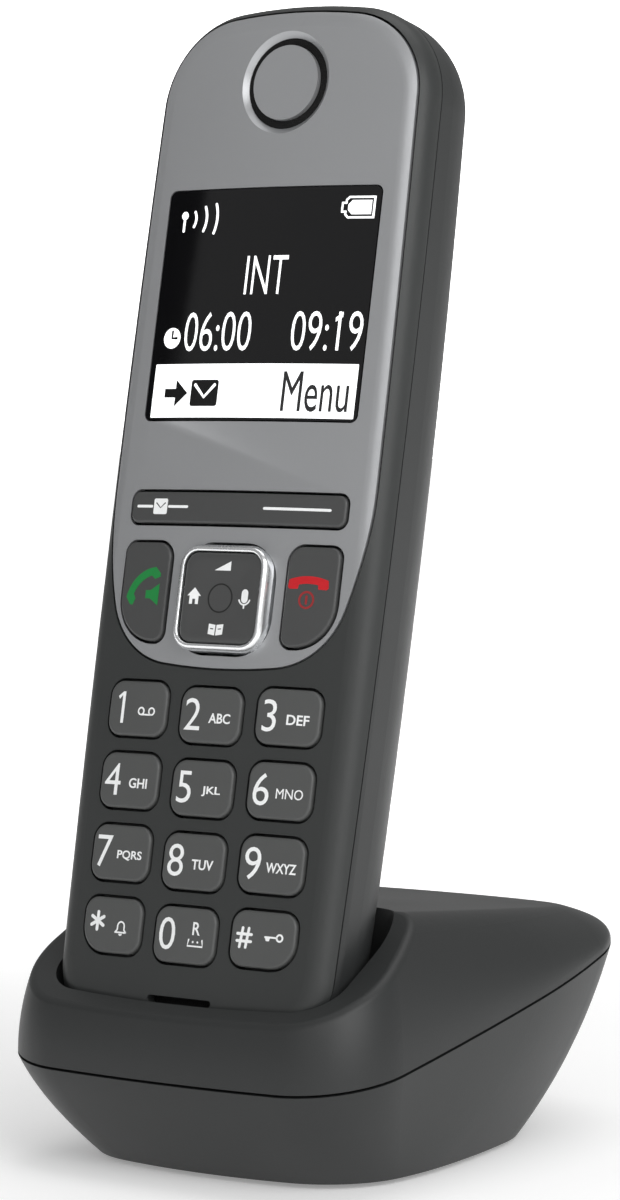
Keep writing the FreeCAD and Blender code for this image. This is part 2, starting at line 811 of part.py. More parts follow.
def build_back_shell(form, cavity, back_half):
    """Back casing with the battery bay, its door opening and the ringer slots."""
    lining = handset_form("DoorLining", "door_wall + 0.1")
    skin = cut("BackSkin", common("BackSolid", form, back_half), cavity)
    bay = common("BayWalls", bay_block("BayOuter", "bay_wall", "bay_roof + bay_wall", "-40"), lining)
    posts = common("BackPosts", fuse("BackPostRods", *(
        rod(f"BackPost{n}", spot, ("-19", "board_top - board_thick - 1.4"), "3.3")
        for n, spot in enumerate(screw_spots()))), form)
    opening_block = prism("DoorOpeningBlock", draw_tile, *door_tile("door_gap"), low="-40", high="-9")
    opening = cut("DoorOpening", opening_block, lining)
    slots = [box(f"RingerSlot{n}", ("-7", "7"), (f"{113 + 3 * n}", f"{114.2 + 3 * n}"), ("-30", "-14"))
             for n in range(4)]
    bores = [rod(f"BackBore{n}", spot, ("-40", "0"), "1.3") for n, spot in enumerate(screw_spots())]
    heads = [rod(f"BackSink{n}", spot, ("-40", "-13"), "1.95") for n, spot in enumerate(screw_spots())]
    seats = [pad_block(f"PadSeat{n}", side, "1.7", ("0", "3.1"), "1.3") for n, side in enumerate((-1, 1))]
    hooks = [hook_block(f"HookSlot{n}", middle, "2.2", ("door_foot - 1.3", "door_foot + 2.4"),
                        ("hook_outer - 0.25", "hook_inner + 0.4")) for n, middle in enumerate((-9, 9))]
    whole = fuse("BackWhole", skin, bay, posts)
    room = bay_block("BayRoom", "0", "bay_roof", "-40")
    tools = (room, opening, *slots, *bores, *heads, *seats, *hooks)
    piece("back_shell", cut("BackShell", whole, *tools), HANDSET)


def build_battery_door(form):
    """Battery door: a patch of the back with two hooks along its lower edge."""
    under = handset_form("DoorUnder", "door_wall")
    block = prism("DoorBlock", draw_tile, *door_tile(), low="-40", high="-9")
    patch = cut("DoorPatch", common("DoorSkin", form, block), under)
    hooks = [hook_block(f"DoorHook{n}", middle, "1.8", ("door_foot - 1", "door_foot + 0.7"),
                        ("hook_outer", "hook_inner")) for n, middle in enumerate((-9, 9))]
    stems = [hook_block(f"DoorHookStem{n}", middle, "1.8", ("door_foot", "door_foot + 0.7"),
                        ("0.9", "hook_inner")) for n, middle in enumerate((-9, 9))]
    piece("battery_door", fuse("BatteryDoor", patch, *hooks, *stems), HANDSET)


# ---------------------------------------------------------------- handset keys

def build_number_key(name, column, row):
    """A number key: a crowned cap, a flange that holds it in, and a plunger."""
    body = new_body("Key_" + name)
    middle = key_middle(column, row)
    foot = "flange_top - flange_thick"
    cap = new_sketch(body, body.Name + "Cap", height=foot)
    draw_tile(cap, middle, ("key_wide", "key_tall"), key_corners(column, row))
    pad(body, cap, "6")
    crown_cut(body, "key_proud")
    round_edges(body, "key_edge", lambda spot: spot.z > -1.2, body.Name + "Edge")
    flange = new_sketch(body, body.Name + "Flange", height=foot)
    size = ("key_wide + 2 * flange_lip", "key_tall + 2 * flange_lip")
    draw_tile(flange, middle, size, key_corners(column, row, "flange_lip"))
    pad(body, flange, "flange_thick")
    plunger = new_sketch(body, body.Name + "Plunger", height=foot)
    draw_circle(plunger, middle, "plunger_radius")
    pad(body, plunger, f"({foot}) - plunger_end", down=True)
    piece("key_" + name, body, HANDSET)


def build_call_key(name, side):
    """The call key or the end key."""
    body = new_body(name.title().replace("_", ""))
    foot = "flange_top - flange_thick"
    cap = new_sketch(body, body.Name + "Cap", height=foot)
    draw_call_key(cap, side)
    pad(body, cap, "6")
    crown_cut(body, "key_proud")
    round_edges(body, "key_edge", lambda spot: spot.z > -1.2, body.Name + "Edge")
    flange = new_sketch(body, body.Name + "Flange", height=foot)
    draw_call_key(flange, side, "flange_lip")
    pad(body, flange, "flange_thick")
    plunger = new_sketch(body, body.Name + "Plunger", height=foot)
    draw_circle(plunger, (f"{side} * 14.5", "69.5"), "plunger_radius")
    pad(body, plunger, f"({foot}) - plunger_end", down=True)
    piece(name, body, HANDSET)


def build_softkey_bar():
    """One rocking bar with a soft key at each end."""
    body = new_body("SoftkeyBar")
    foot = "flange_top - 1"
    bar = new_sketch(body, "BarCap", height=foot)
    draw_tile(bar, *bar_tile())
    pad(body, bar, "6")
    crown_cut(body, "key_proud - 0.1")
    round_edges(body, "key_edge", lambda spot: spot.z > -1.2, "BarEdge")
    flange = new_sketch(body, "BarFlange", height=foot)
    draw_tile(flange, *bar_tile("flange_lip"))
    pad(body, flange, "flange_thick")
    piece("softkey_bar", body, HANDSET)


def build_nav_key():
    """The four-way key: a bright rim, the pad inside it and the actuator below."""
    rim = new_body("NavRim")
    ring = new_sketch(rim, "RimOuter", height="-2.6")
    draw_tile(ring, *nav_tile())
    pad(rim, ring, "nav_rim_rise + 2.6")
    round_edges(rim, "1.1", lambda spot: spot.z > 1, "RimBevel")
    flange = new_sketch(rim, "RimFlange", height="-3")
    draw_tile(flange, *nav_tile("flange_lip + key_gap"))
    pad(rim, flange, "0.45")
    hole = new_sketch(rim, "RimHole", height="0")
    draw_tile(hole, *pad_tile("nav_slack"))
    pocket_through(rim, hole)
    piece("nav_key_rim", rim, HANDSET)

    cap = new_body("NavPad")
    plate = new_sketch(cap, "PadOutline", height="-2.35")
    draw_tile(plate, *pad_tile())
    pad(cap, plate, "nav_pad_rise + 2.35")
    round_edges(cap, "0.5", lambda spot: spot.z > 1, "PadEdge")
    piece("nav_key_pad", cap, HANDSET)

    disc = rod("ActuatorDisc", ("0", "nav_middle"), ("-3.05", "-2.5"), "4")
    stem = rod("ActuatorStem", ("0", "nav_middle"), ("-3.35", "-3"), "plunger_radius")
    piece("nav_actuator", fuse("NavActuator", disc, stem), HANDSET)


# ---------------------------------------------------------------- inside the handset

def dome_spots():
    """Middle of every switch dome on the main board."""
    for _, column, row in number_keys():
        yield key_middle(column, row)
    for across in ("-14.5", "14.5"):
        yield across, "69.5"
        yield across, "(bar_foot + bar_top) / 2"
    yield "0", "nav_middle"


def build_keypad_layers():
    """The rubber mat, the switch domes and the main board."""
    mat = new_body("KeyMat")
    sheet = new_sketch(mat, "MatOutline", height="board_top")
    draw_tile(sheet, ("0", "45.5"), ("41", "65"), ["9", "9", "2", "2"])
    pad(mat, sheet, "mat_top - board_top")
    holes = new_sketch(mat, "MatHoles", height="board_top")
    for middle in dome_spots():
        if middle[1] != "nav_middle" and "bar" not in middle[1]:
            draw_circle(holes, middle, "dome_radius + 0.5")
    draw_tile(holes, *nav_tile("1.4"))
    pocket_through(mat, holes)
    piece("key_mat", mat, HANDSET)

    domes = [rod(f"Dome{n}", middle, ("board_top", "board_top + dome_rise"), "dome_radius")
             for n, middle in enumerate(dome_spots())]
    piece("key_domes", group("KeyDomes", *domes), HANDSET)

    board = new_body("MainBoard")
    outline = new_sketch(board, "BoardOutline", height="board_top - board_thick")
    draw_tile(outline, ("0", "70"), ("43.6", "124"), ["11", "11", "3", "3"])
    pad(board, outline, "board_thick")
    piece("main_board", board, HANDSET)


def build_display(form):
    """The window, the liquid-crystal glass and its light guide."""
    block = prism("WindowBlock", draw_tile, *window_tile(), low="crown_height - window_thick", high="6")
    piece("display_window", common("DisplayWindow", block, form), HANDSET)
    across = ("-16.9", "16.9")
    glass = box("LcdGlass", across, ("window_foot + 1.6", "window_top - 1.6"), ("-2.75", "-1.55"))
    guide = box("LightGuide", across, ("window_foot + 1.6", "window_top - 1.6"), ("board_top", "-2.8"))
    piece("display_glass", group("DisplayGlass", glass), HANDSET)
    piece("light_guide", group("LightGuidePiece", guide), HANDSET)


def build_sound_parts():
    """Earpiece disc and mesh, ear speaker, microphone and ringer speaker."""
    ear = ("0", "ear_middle")
    disc = rod("EarDiscRod", ear, ("crown_height - 0.9", "crown_height - 0.1"), "ear_disc_radius")
    piece("earpiece_disc", group("EarpieceDisc", disc), HANDSET)
    mesh = rod("EarMeshRod", ear, ("crown_height - 1.5", "crown_height - 0.9"), "ear_ring_radius - 0.05")
    piece("earpiece_mesh", group("EarpieceMesh", mesh), HANDSET)
    speaker = fuse("EarSpeaker", rod("EarSpeakerCup", ear, ("-6.6", "-2.6"), "8.5"),
                   rod("EarSpeakerMagnet", ear, ("-8.2", "-6.6"), "5"))
    piece("ear_speaker", speaker, HANDSET)
    mic = rod("MicCan", ("0", "mic_middle"), ("board_top", "-1.9"), "2.2")
    piece("microphone", group("Microphone", mic), HANDSET)
    ringer = fuse("RingerSpeaker", rod("RingerCup", ("0", "118"), ("-17", "-13.6"), "9"),
                  rod("RingerMagnet", ("0", "118"), ("-13.6", "-11.6"), "5.5"))
    piece("ringer_speaker", ringer, HANDSET)


def build_battery():
    """Two rechargeable cells side by side and the contacts at their ends."""
    half = "cell_long / 2"
    sides = (("Left", "-cell_spacing / 2"), ("Right", "cell_spacing / 2"))
    cells = []
    contacts = []
    for name, across in sides:
        shaft = (f"cell_middle - {half}", f"cell_middle + {half} - 1")
        can = rod_along("CellCan" + name, (across, "cell_depth"), shaft, "cell_radius")
        tip = rod_along("CellTip" + name, (across, "cell_depth"), (shaft[1], f"cell_middle + {half}"), "1.9")
        cells.append(fuse("Cell" + name, can, tip))
        for end, sign in (("Low", "-"), ("High", "+")):
            face = f"cell_middle {sign} bay_half_long"
            edge = f"cell_middle {sign} ({half} + 0.1)"
            along = (face, edge) if sign == "-" else (edge, face)
            contacts.append(box(f"Contact{name}{end}", (f"{across} - 3", f"{across} + 3"), along,
                                ("cell_depth - 3", "cell_depth + 3")))
    piece("battery_cells", group("BatteryCells", *cells), HANDSET)
    piece("battery_contacts", group("BatteryContacts", *contacts), HANDSET)


def build_handset_small_parts():
    """Charging pads, casing screws and the antenna."""
    pads = [pad_block(f"ChargePad{n}", side, "1.6", ("body_foot + 0.15", "body_foot + 1.05"), "1.2")
            for n, side in enumerate((-1, 1))]
    piece("charge_pads", group("ChargePads", *pads), HANDSET)
    screws = [fuse(f"HandsetScrew{n}", rod(f"HandsetShank{n}", spot, ("-13", "-3.2"), "0.95"),
                   rod(f"HandsetHead{n}", spot, ("-14.4", "-13"), "1.85"))
              for n, spot in enumerate(screw_spots())]
    piece("handset_screws", group("HandsetScrews", *screws), HANDSET)
    under = "board_top - board_thick"
    foot = box("AntennaFoot", ("-9", "9"), ("131.5", "132.3"), (f"{under} - 4", under))
    arm = box("AntennaArm", ("-9", "-8.2"), ("131.5", "150"), ("-9.1", "-8.4"))
    piece("handset_antenna", fuse("HandsetAntenna", foot, arm), HANDSET)


# ---------------------------------------------------------------- base

def leaf_outline(leaf, inset):
    """The outline of one leaf of the upper form."""
    side, front, back = (f"{leaf[key]} + ({inset})" for key in ("side", "front", "back"))
    outline = {key: text if key == "widest" else f"({text}) - ({side})"
               for key, text in PARTING_OUTLINE.items()}
    outline["low"] = f"({PARTING_OUTLINE['low']}) + ({front})"
    outline["high"] = f"({PARTING_OUTLINE['high']}) - ({back})"
    return outline


def leaf_plane(leaf, drop="0", share="1"):
    """Height at Y = 0 and tilt of a leaf that turns about the back edge."""
    tilt = f"parting_tilt - {leaf['turn']}"
    back_edge = "parting_height + parting_back * sin(parting_tilt)"
    fall = f"parting_back * cos(parting_tilt) * tan({tilt})"
    return f"{back_edge} - {fall} + {leaf['lift']} - ({drop}) * {share}", tilt


def upper_form(name, inset="0", drop="0"):
    """The part of the base above its parting plane, without the handset's pocket.

    Its leaves turn about the back edge, and a sloping plane cuts the front rim.
    """
    body = new_body(name)
    leaves = []
    for number, leaf in enumerate(LEAVES):
        height, tilt = leaf_plane(leaf, drop, "0.5" if number < 2 else "1")
        sketch = new_sketch(body, f"{name}Leaf{number}", height=height, tilt=tilt)
        draw_oval(sketch, leaf_outline(leaf, inset))
        leaves.append(sketch)
    loft(body, leaves)
    DOC.recompute()
    side = new_sketch(body, name + "RimSide", "YZ_Plane")
    reach = "60"
    low_end = f"rim_height - ({drop}) * 1.1"
    draw_polygon(side, (
        (f"rim_front - {reach}", f"{low_end} - {reach} * tan(rim_slope)"),
        (f"rim_front + {reach}", f"{low_end} + {reach} * tan(rim_slope)"),
        (f"rim_front - {reach}", f"{low_end} + {reach} * tan(rim_slope)"),
    ))
    pocket_through(body, side)
    return body


def on_shoulder(spot):
    """Whether an edge's middle lies on the top leaf, away from the collar."""
    height, tilt = (value(text) for text in leaf_plane(LEAVES[-1]))
    return abs(spot.z - height - spot.y * math.tan(math.radians(tilt))) < 0.05 and not on_rim(spot)


def on_rim(spot):
    """Whether an edge's middle lies on the sloping rim plane."""
    height = value("rim_height") + (spot.y - value("rim_front")) * math.tan(math.radians(value("rim_slope")))
    return abs(spot.z - height) < 0.05


def lower_form(name, inset="0", sole="foot_rise", top="-parting_gap"):
    """The part of the base below its parting plane."""
    body = new_body(name)
    sections = (
        ("Sole", SOLE_OUTLINE, sole, "0"),
        ("Waist", WAIST_OUTLINE, "waist_height", "waist_tilt"),
        ("Parting", PARTING_OUTLINE, f"parting_height + ({top})", "parting_tilt"),
    )
    sketches = []
    for part, outline, height, tilt in sections:
        sketch = new_sketch(body, name + part, height=height, tilt=tilt)
        draw_oval(sketch, drawn_in(outline, inset))
        sketches.append(sketch)
    loft(body, sketches)
    DOC.recompute()
    return body


def base_screw_spots():
    """Where the three screws of the base stand."""
    return (("-post_side", "post_side_back"), ("post_side", "post_side_back"), ("0", "post_rear"))


def pin_middles():
    """X and Z, in the handset's frame, of the two charging pins."""
    return [(f"{side} * contact_spacing / 2", "contact_depth") for side in (-1, 1)]


def pin_bores(name, along, radius):
    """One tool that bores both pin holes."""
    holes = [rod_along(f"{name}{n}", middle, along, radius) for n, middle in enumerate(pin_middles())]
    return fuse(name, *holes)


def build_base_top_shell():
    """Upper casing with the pocket that the handset stands in.

    Returns the room inside the lower casing and the form round the pocket.
    """
    outer = upper_form("UpperForm")
    round_edges(outer, "shoulder_round", on_shoulder, "ShoulderRound")
    round_edges(outer, "rim_round", on_rim, "RimRound")
    inner = upper_form("UpperCavity", "base_wall", "base_wall")
    room = lower_form("TubRoom", "base_wall + 0.3", sole="foot_rise + base_wall + 0.3", top="0.5")
    wall = handset_form("TubForm", "-(dock_gap + base_wall)", "dock_gap_back")
    wall.Placement = HANDSET
    pocket = handset_form("PocketForm", "-dock_gap", "dock_gap_back")
    pocket.Placement = HANDSET
    limit = fuse("TubLimit", outer, room)
    tub = common("Tub", wall, limit)
    posts = common("TopPosts", fuse("TopPostRods", *(
        rod(f"TopPost{n}", spot, ("post_split + 0.2", "40"), "3")
        for n, spot in enumerate(base_screw_spots()))), limit)
    bores = [rod(f"TopBore{n}", spot, ("10", "24"), "1.25") for n, spot in enumerate(base_screw_spots())]
    hole_group = pin_bores("ContactHoles", ("-10", "10"), "1.15")
    hole_group.Placement = HANDSET
    skin = cut("TopSkin", outer, inner)
    whole = fuse("TopWhole", skin, tub, posts)
    piece("base_top_shell", cut("BaseTopShell", whole, pocket, hole_group, *bores))
    return room, wall


def socket_block(name, kind, grow, front):
    """A block round a socket, grown all round, from front to beyond the back."""
    middle, half = f"{kind}_middle", f"({kind}_wide / 2 + {grow})"
    return box(name, (f"{middle} - {half}", f"{middle} + {half}"), (front, "60"),
               (f"socket_foot - ({grow})", f"socket_foot + {kind}_tall + ({grow})"))


def build_base_bottom_shell():
    """Lower casing with the socket openings and the screw posts."""
    outer = lower_form("LowerForm")
    inner = lower_form("LowerCavity", "base_wall", sole="foot_rise + base_wall", top="1")
    posts = [rod(f"BottomPost{n}", spot, ("foot_rise + base_wall / 2", "post_split"), "3.2")
             for n, spot in enumerate(base_screw_spots())]
    bores = [rod(f"BottomBore{n}", spot, ("-5", "20"), "1.4") for n, spot in enumerate(base_screw_spots())]
    sinks = [rod(f"BottomSink{n}", spot, ("-5", "8"), "1.95") for n, spot in enumerate(base_screw_spots())]
    mouths = [socket_block(kind.title() + "Mouth", kind, "0.2", "24") for kind in ("line", "power")]
    page_hole = group("PageHole", rod("PageBore", ("0", "0"), ("-8", "8"), "3"))
    page_hole.Placement = PAGE_KEY
    whole = fuse("BottomWhole", cut("BottomSkin", outer, inner), *posts)
    piece("base_bottom_shell", cut("BaseBottomShell", whole, *bores, *sinks, *mouths, page_hole))


def build_sockets():
    """Telephone-line socket and power socket at the back of the base."""
    within = lower_form("SocketLimit", "0.8")
    for kind in ("line", "power"):
        name = kind.title()
        block = common(name + "Body", socket_block(name + "Block", kind, "0", "socket_front"), within)
        room = socket_block(name + "Room", kind, "-1.6", "socket_front + 3")
        piece(kind + "_socket", cut(name + "Socket", block, room))


def build_base_inside(room, wall):
    """Board, antenna, contact carrier and springs of the base."""
    board = new_body("BaseBoard")
    outline = new_sketch(board, "BaseBoardOutline", height="board_rise")
    draw_tile(outline, ("0", "-4"), ("30", "38"), ["6", "6", "3", "3"])
    pad(board, outline, "1.6")
    piece("base_board", board)
    ferrite = fuse("BaseAntenna", box("AntennaPlate", ("-12", "12"), ("4", "4.6"), ("5.6", "15")),
                   box("AntennaRoof", ("-12", "12"), ("4", "12"), ("14.4", "15")))
    piece("base_antenna", ferrite)

    half = "(contact_spacing / 2 + 3.4)"
    block = group("CarrierPlaced", box("CarrierBlock", (f"-{half}", half), ("-6.4", "-1.3"),
                                       ("contact_depth - 2.8", "contact_depth + 2.4")))
    block.Placement = HANDSET
    bores = pin_bores("CarrierBores", ("-5.6", "10"), "1.9")
    bores.Placement = HANDSET
    piece("contact_carrier", cut("ContactCarrier", common("CarrierBody", block, room), wall, bores))
    springs = []
    for n, middle in enumerate(pin_middles()):
        coil = rod_along(f"SpringOuter{n}", middle, ("-5.6", "-3.6"), "1.6")
        core = rod_along(f"SpringCore{n}", middle, ("-6", "-3"), "1.1")
        springs.append(cut(f"ContactSpring{n}", coil, core))
    piece("contact_springs", group("ContactSprings", *springs), HANDSET)


def build_charge_contacts():
    """The two sprung pins that meet the handset's charging pads."""
    for name, middle in zip(("left", "right"), pin_middles()):
        shaft = rod_along("PinShaft_" + name, middle, ("-3.3", "1.6"), "contact_radius")
        collar = rod_along("PinCollar_" + name, middle, ("-2.6", "-2"), "1.6")
        tip = rod_along("PinTip_" + name, middle, ("1.6", "2.08"), "contact_radius - 0.35")
        piece("charge_contact_" + name, fuse("ChargeContact_" + name, shaft, collar, tip), HANDSET)


def build_base_small_parts():
    """Rubber feet, casing screws and the paging key."""
    spots = (("-16", "-23"), ("16", "-23"), ("-13", "12"), ("13", "12"))
    feet = [rod(f"Foot{n}", spot, ("0", "foot_rise"), "4.2") for n, spot in enumerate(spots)]
    piece("base_feet", group("BaseFeet", *feet))
    screws = [fuse(f"BaseScrew{n}", rod(f"BaseShank{n}", spot, ("8", "20"), "1.15"),
                   rod(f"BaseHead{n}", spot, ("6.6", "8"), "1.85"))
              for n, spot in enumerate(base_screw_spots())]
    piece("base_screws", group("BaseScrews", *screws))
    cap = fuse("PageCap", rod("PageButton", ("0", "0"), ("-3.3", "0.6"), "2.7"),
               rod("PageFlange", ("0", "0"), ("-3.3", "-2.7"), "3.6"))
    piece("page_key", cap, PAGE_KEY)


# ---------------------------------------------------------------- checks and export

def check_document():
    """Stop if any object failed or any finished piece is empty or invalid."""
    for thing in DOC.Objects:
        if {"Invalid", "Error"} & set(thing.State):
            raise ValueError(f"{thing.Name} is {thing.State}")
    for thing in PIECES:
        if thing.Shape.isNull() or not thing.Shape.isValid() or thing.Shape.Volume <= 0:
            raise ValueError(f"{thing.Label} has no valid solid")


def export_pieces():
    """Write one STEP file for each finished piece."""
    os.makedirs("parts", exist_ok=True)
    for thing in PIECES:
        thing.Shape.exportStep(f"parts/{thing.Label}.step")


fill_sheet()
HANDSET = handset_placement()
PAGE_KEY = page_placement()

handset = handset_form("HandsetForm")
hollow = handset_form("HandsetCavity", "shell_wall")
front_half, back_half = seam_halves()
build_front_shell(handset, hollow, front_half)
build_face_plate(handset)
build_back_shell(handset, hollow, back_half)
build_battery_door(handset)
for key_name, key_column, key_row in number_keys():
    build_number_key(key_name, key_column, key_row)
build_call_key("call_key", -1)
build_call_key("end_key", 1)
build_softkey_bar()
build_nav_key()
build_keypad_layers()
build_display(handset)
build_sound_parts()
build_battery()
build_handset_small_parts()
tub_room, tub_form = build_base_top_shell()
build_base_bottom_shell()
build_sockets()
build_base_inside(tub_room, tub_form)
build_charge_contacts()
build_base_small_parts()
DOC.recompute()
check_document()
export_pieces()
for made in PIECES:
    print(made.Label, len(made.Shape.Solids), round(made.Shape.Volume, 1))
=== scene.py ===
"""Looks of a cordless telephone that leans back in its charging base.

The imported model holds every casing, key and inner piece in its place.  This script gives
each of them its finish, prints the legends on the keys, fills the display, adds the small
trim and sets up the studio round the object.
"""
import json
import logging
import math
from dataclasses import dataclass, field
from enum import Enum
from typing import Callable, Iterable, Optional, Sequence, Union

import bmesh
import bpy
from mathutils import Matrix, Vector
from mathutils.bvhtree import BVHTree


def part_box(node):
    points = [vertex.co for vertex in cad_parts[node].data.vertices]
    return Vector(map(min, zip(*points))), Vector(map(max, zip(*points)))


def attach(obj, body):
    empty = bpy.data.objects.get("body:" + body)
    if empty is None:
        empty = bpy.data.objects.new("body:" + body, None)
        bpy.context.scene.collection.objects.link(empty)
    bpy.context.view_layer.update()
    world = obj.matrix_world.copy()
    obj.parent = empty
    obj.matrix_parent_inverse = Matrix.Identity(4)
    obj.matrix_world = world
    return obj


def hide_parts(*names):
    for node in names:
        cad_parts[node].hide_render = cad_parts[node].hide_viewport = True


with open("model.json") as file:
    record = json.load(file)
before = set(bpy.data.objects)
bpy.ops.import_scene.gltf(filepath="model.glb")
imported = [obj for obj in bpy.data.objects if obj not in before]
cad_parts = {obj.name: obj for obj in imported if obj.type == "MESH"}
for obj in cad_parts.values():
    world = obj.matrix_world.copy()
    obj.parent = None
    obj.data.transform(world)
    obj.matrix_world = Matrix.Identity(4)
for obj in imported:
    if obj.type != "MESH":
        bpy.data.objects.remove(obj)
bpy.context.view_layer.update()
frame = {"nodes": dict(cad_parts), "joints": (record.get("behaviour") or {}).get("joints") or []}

MM = 0.001
WAVE_STEP = 0.314  # the Scale of a Wave node times the distance from one band to the next
LOG = logging.getLogger("cordless_phone")

Number = Union[int, float]
Point = tuple[float, float]
Loop = list[Point]
Colour = tuple[float, float, float]
Size = tuple[float, float, float]
Place = tuple[float, float, float]


# ---------------------------------------------------------------- shader maths

class Value:
    """One output socket, with arithmetic that adds Math nodes to its tree."""

    def __init__(self, tree: "ShaderTree", socket: bpy.types.NodeSocket) -> None:
        """Wrap a socket.

        Args:
            tree: The shader tree that the socket belongs to.
            socket: The output socket.
        """
        self.tree = tree
        self.socket = socket

    def _maths(self, operation: str, first: "Operand", second: "Operand") -> "Value":
        """Add a Math node for two operands.

        Args:
            operation: The Math node's operation.
            first: The first operand.
            second: The second operand.

        Returns:
            The node's result.
        """
        return self.tree.node("ShaderNodeMath", {"operation": operation}, {0: first, 1: second})

    def __add__(self, other: "Operand") -> "Value":
        """This plus other."""
        return self._maths("ADD", self, other)

    def __sub__(self, other: "Operand") -> "Value":
        """This less other."""
        return self._maths("SUBTRACT", self, other)

    def __rsub__(self, other: "Operand") -> "Value":
        """Other less this."""
        return self._maths("SUBTRACT", other, self)

    def __mul__(self, other: "Operand") -> "Value":
        """This times other."""
        return self._maths("MULTIPLY", self, other)

    __radd__ = __add__
    __rmul__ = __mul__

    def step(self, low: Number, high: Number) -> "Value":
        """A smooth step from 0 at low to 1 at high.

        Args:
            low: Where the step starts.
            high: Where the step ends.

        Returns:
            The stepped value.
        """
        settings = {"interpolation_type": "SMOOTHSTEP"}
        return self.tree.node("ShaderNodeMapRange", settings, {0: self, 1: low, 2: high})


Operand = Union[Value, Number]


class ShaderTree:
    """The node tree of one material, read in the object's own coordinates."""

    def __init__(self, name: str) -> None:
        """Make an empty material with one Principled shader.

        Args:
            name: The material's name.
        """
        self.material = bpy.data.materials.new(name)
        self.material.use_nodes = True
        self.nodes = self.material.node_tree.nodes
        self.links = self.material.node_tree.links
        self.shader = self.nodes["Principled BSDF"]
        self.place = self.node("ShaderNodeTexCoord", output="Object")

    def node(self, kind: str, settings: Optional[dict] = None, inputs: Optional[dict] = None,
             output: Union[int, str] = 0) -> Value:
        """Add a node.

        Args:
            kind: The node's type.
            settings: Its own settings.
            inputs: Values or links of its sockets, by name or number.
            output: The socket that is returned.

        Returns:
            The chosen output.
        """
        made = self.nodes.new(kind)
        for name, setting in (settings or {}).items():
            setattr(made, name, setting)
        for name, item in (inputs or {}).items():
            self.feed(made.inputs[name], item)
        return Value(self, made.outputs[output])

    def feed(self, socket: bpy.types.NodeSocket, item: Union[Value, Number, Sequence[Number]]) -> None:
        """Link a value to a socket, or set the socket's own number.

        Args:
            socket: The input socket.
            item: A value of this tree, a number, a vector or a colour.
        """
        if isinstance(item, Value):
            self.links.new(item.socket, socket)
        else:
            socket.default_value = item

    def grain(self, size: float, detail: float = 2.0, stretch: Size = (1.0, 1.0, 1.0)) -> Value:
        """Fine noise.

        Args:
            size: Size of one grain, in metres.
            detail: How many finer layers it has.
            stretch: Scale of each axis before the noise is read.

        Returns:
            Noise from 0 to 1.
        """
        place = self.node("ShaderNodeMapping", {}, {"Vector": self.place, "Scale": stretch})
        return self.node("ShaderNodeTexNoise", {}, {"Vector": place, "Scale": 1 / size, "Detail": detail})

    def blend(self, share: Operand, first: Union[Colour, Value], second: Colour) -> Value:
        """A colour between two colours.

        Args:
            share: 0 for the first colour, 1 for the second.
            first: The first colour, or one that is mixed already.
            second: The second colour.

        Returns:
            The mixed colour.
        """
        under = first if isinstance(first, Value) else (*first, 1.0)
        inputs = {0: share, 6: under, 7: (*second, 1.0)}
        return self.node("ShaderNodeMix", {"data_type": "RGBA"}, inputs, output=2)

    def bump(self, height: Operand, depth: float) -> Value:
        """A bumped normal.

        Args:
            height: Height from 0 to 1.
            depth: How deep the height goes, in metres.

        Returns:
            The normal.
        """
        return self.node("ShaderNodeBump", {}, {"Height": height, "Distance": depth})

    def surface(self, sockets: dict) -> bpy.types.Material:
        """Set the shader's sockets.

        Args:
            sockets: Values or links, by the sockets' names.

        Returns:
            The finished material.
        """
        for name, item in sockets.items():
            if name == "Base Color" and not isinstance(item, Value):
                item = (*item, 1.0)
            self.feed(self.shader.inputs[name], item)
        return self.material


def tinted(colour: Colour, factor: float) -> Colour:
    """The colour made lighter or darker by a factor."""
    return tuple(min(1.0, channel * factor) for channel in colour)


# ---------------------------------------------------------------- finishes

@dataclass(frozen=True)
class Moulded:
    """Satin moulded plastic: a fine spark-eroded grain and a faint drift of tone."""

    name: str
    colour: Colour
    roughness: float = 0.5
    grain_size: float = 0.00032
    grain_depth: float = 0.00001
    drift: float = 0.08
    drift_size: float = 0.021
    shine: float = 0.4

    def build(self) -> bpy.types.Material:
        """Make the material.

        Returns:
            The finished material.
        """
        tree = ShaderTree(self.name)
        fine = tree.grain(self.grain_size, 3.0)
        broad = tree.grain(self.drift_size, 1.0)
        tone = broad * 0.7 + fine * 0.3
        dark, light = tinted(self.colour, 1 - self.drift), tinted(self.colour, 1 + self.drift)
        return tree.surface({
            "Base Color": tree.blend(tone, dark, light),
            "Roughness": broad * 0.08 + fine * 0.06 + (self.roughness - 0.07),
            "Specular IOR Level": self.shine,
            "Normal": tree.bump(fine, self.grain_depth),
        })


@dataclass(frozen=True)
class FlakePaint:
    """Silver-grey paint with fine metal flakes under a satin lacquer."""

    name: str
    colour: Colour
    roughness: float = 0.36
    flake_size: float = 0.00012
    flake_depth: float = 0.000002
    cloud_size: float = 0.03
    metal: float = 0.5
    lacquer: float = 0.15
    lacquer_roughness: float = 0.3

    def build(self) -> bpy.types.Material:
        """Make the material.

        Returns:
            The finished material.
        """
        tree = ShaderTree(self.name)
        flake = tree.node("ShaderNodeTexVoronoi", {}, {"Vector": tree.place, "Scale": 1 / self.flake_size})
        cloud = tree.grain(self.cloud_size, 1.0)
        tone = flake * 0.55 + cloud * 0.45
        return tree.surface({
            "Base Color": tree.blend(tone, tinted(self.colour, 0.93), tinted(self.colour, 1.07)),
            "Metallic": flake * 0.15 + self.metal,
            "Roughness": flake * 0.1 + cloud * 0.06 + (self.roughness - 0.08),
            "Coat Weight": self.lacquer,
            "Coat Roughness": self.lacquer_roughness,
            "Normal": tree.bump(flake, self.flake_depth),
        })


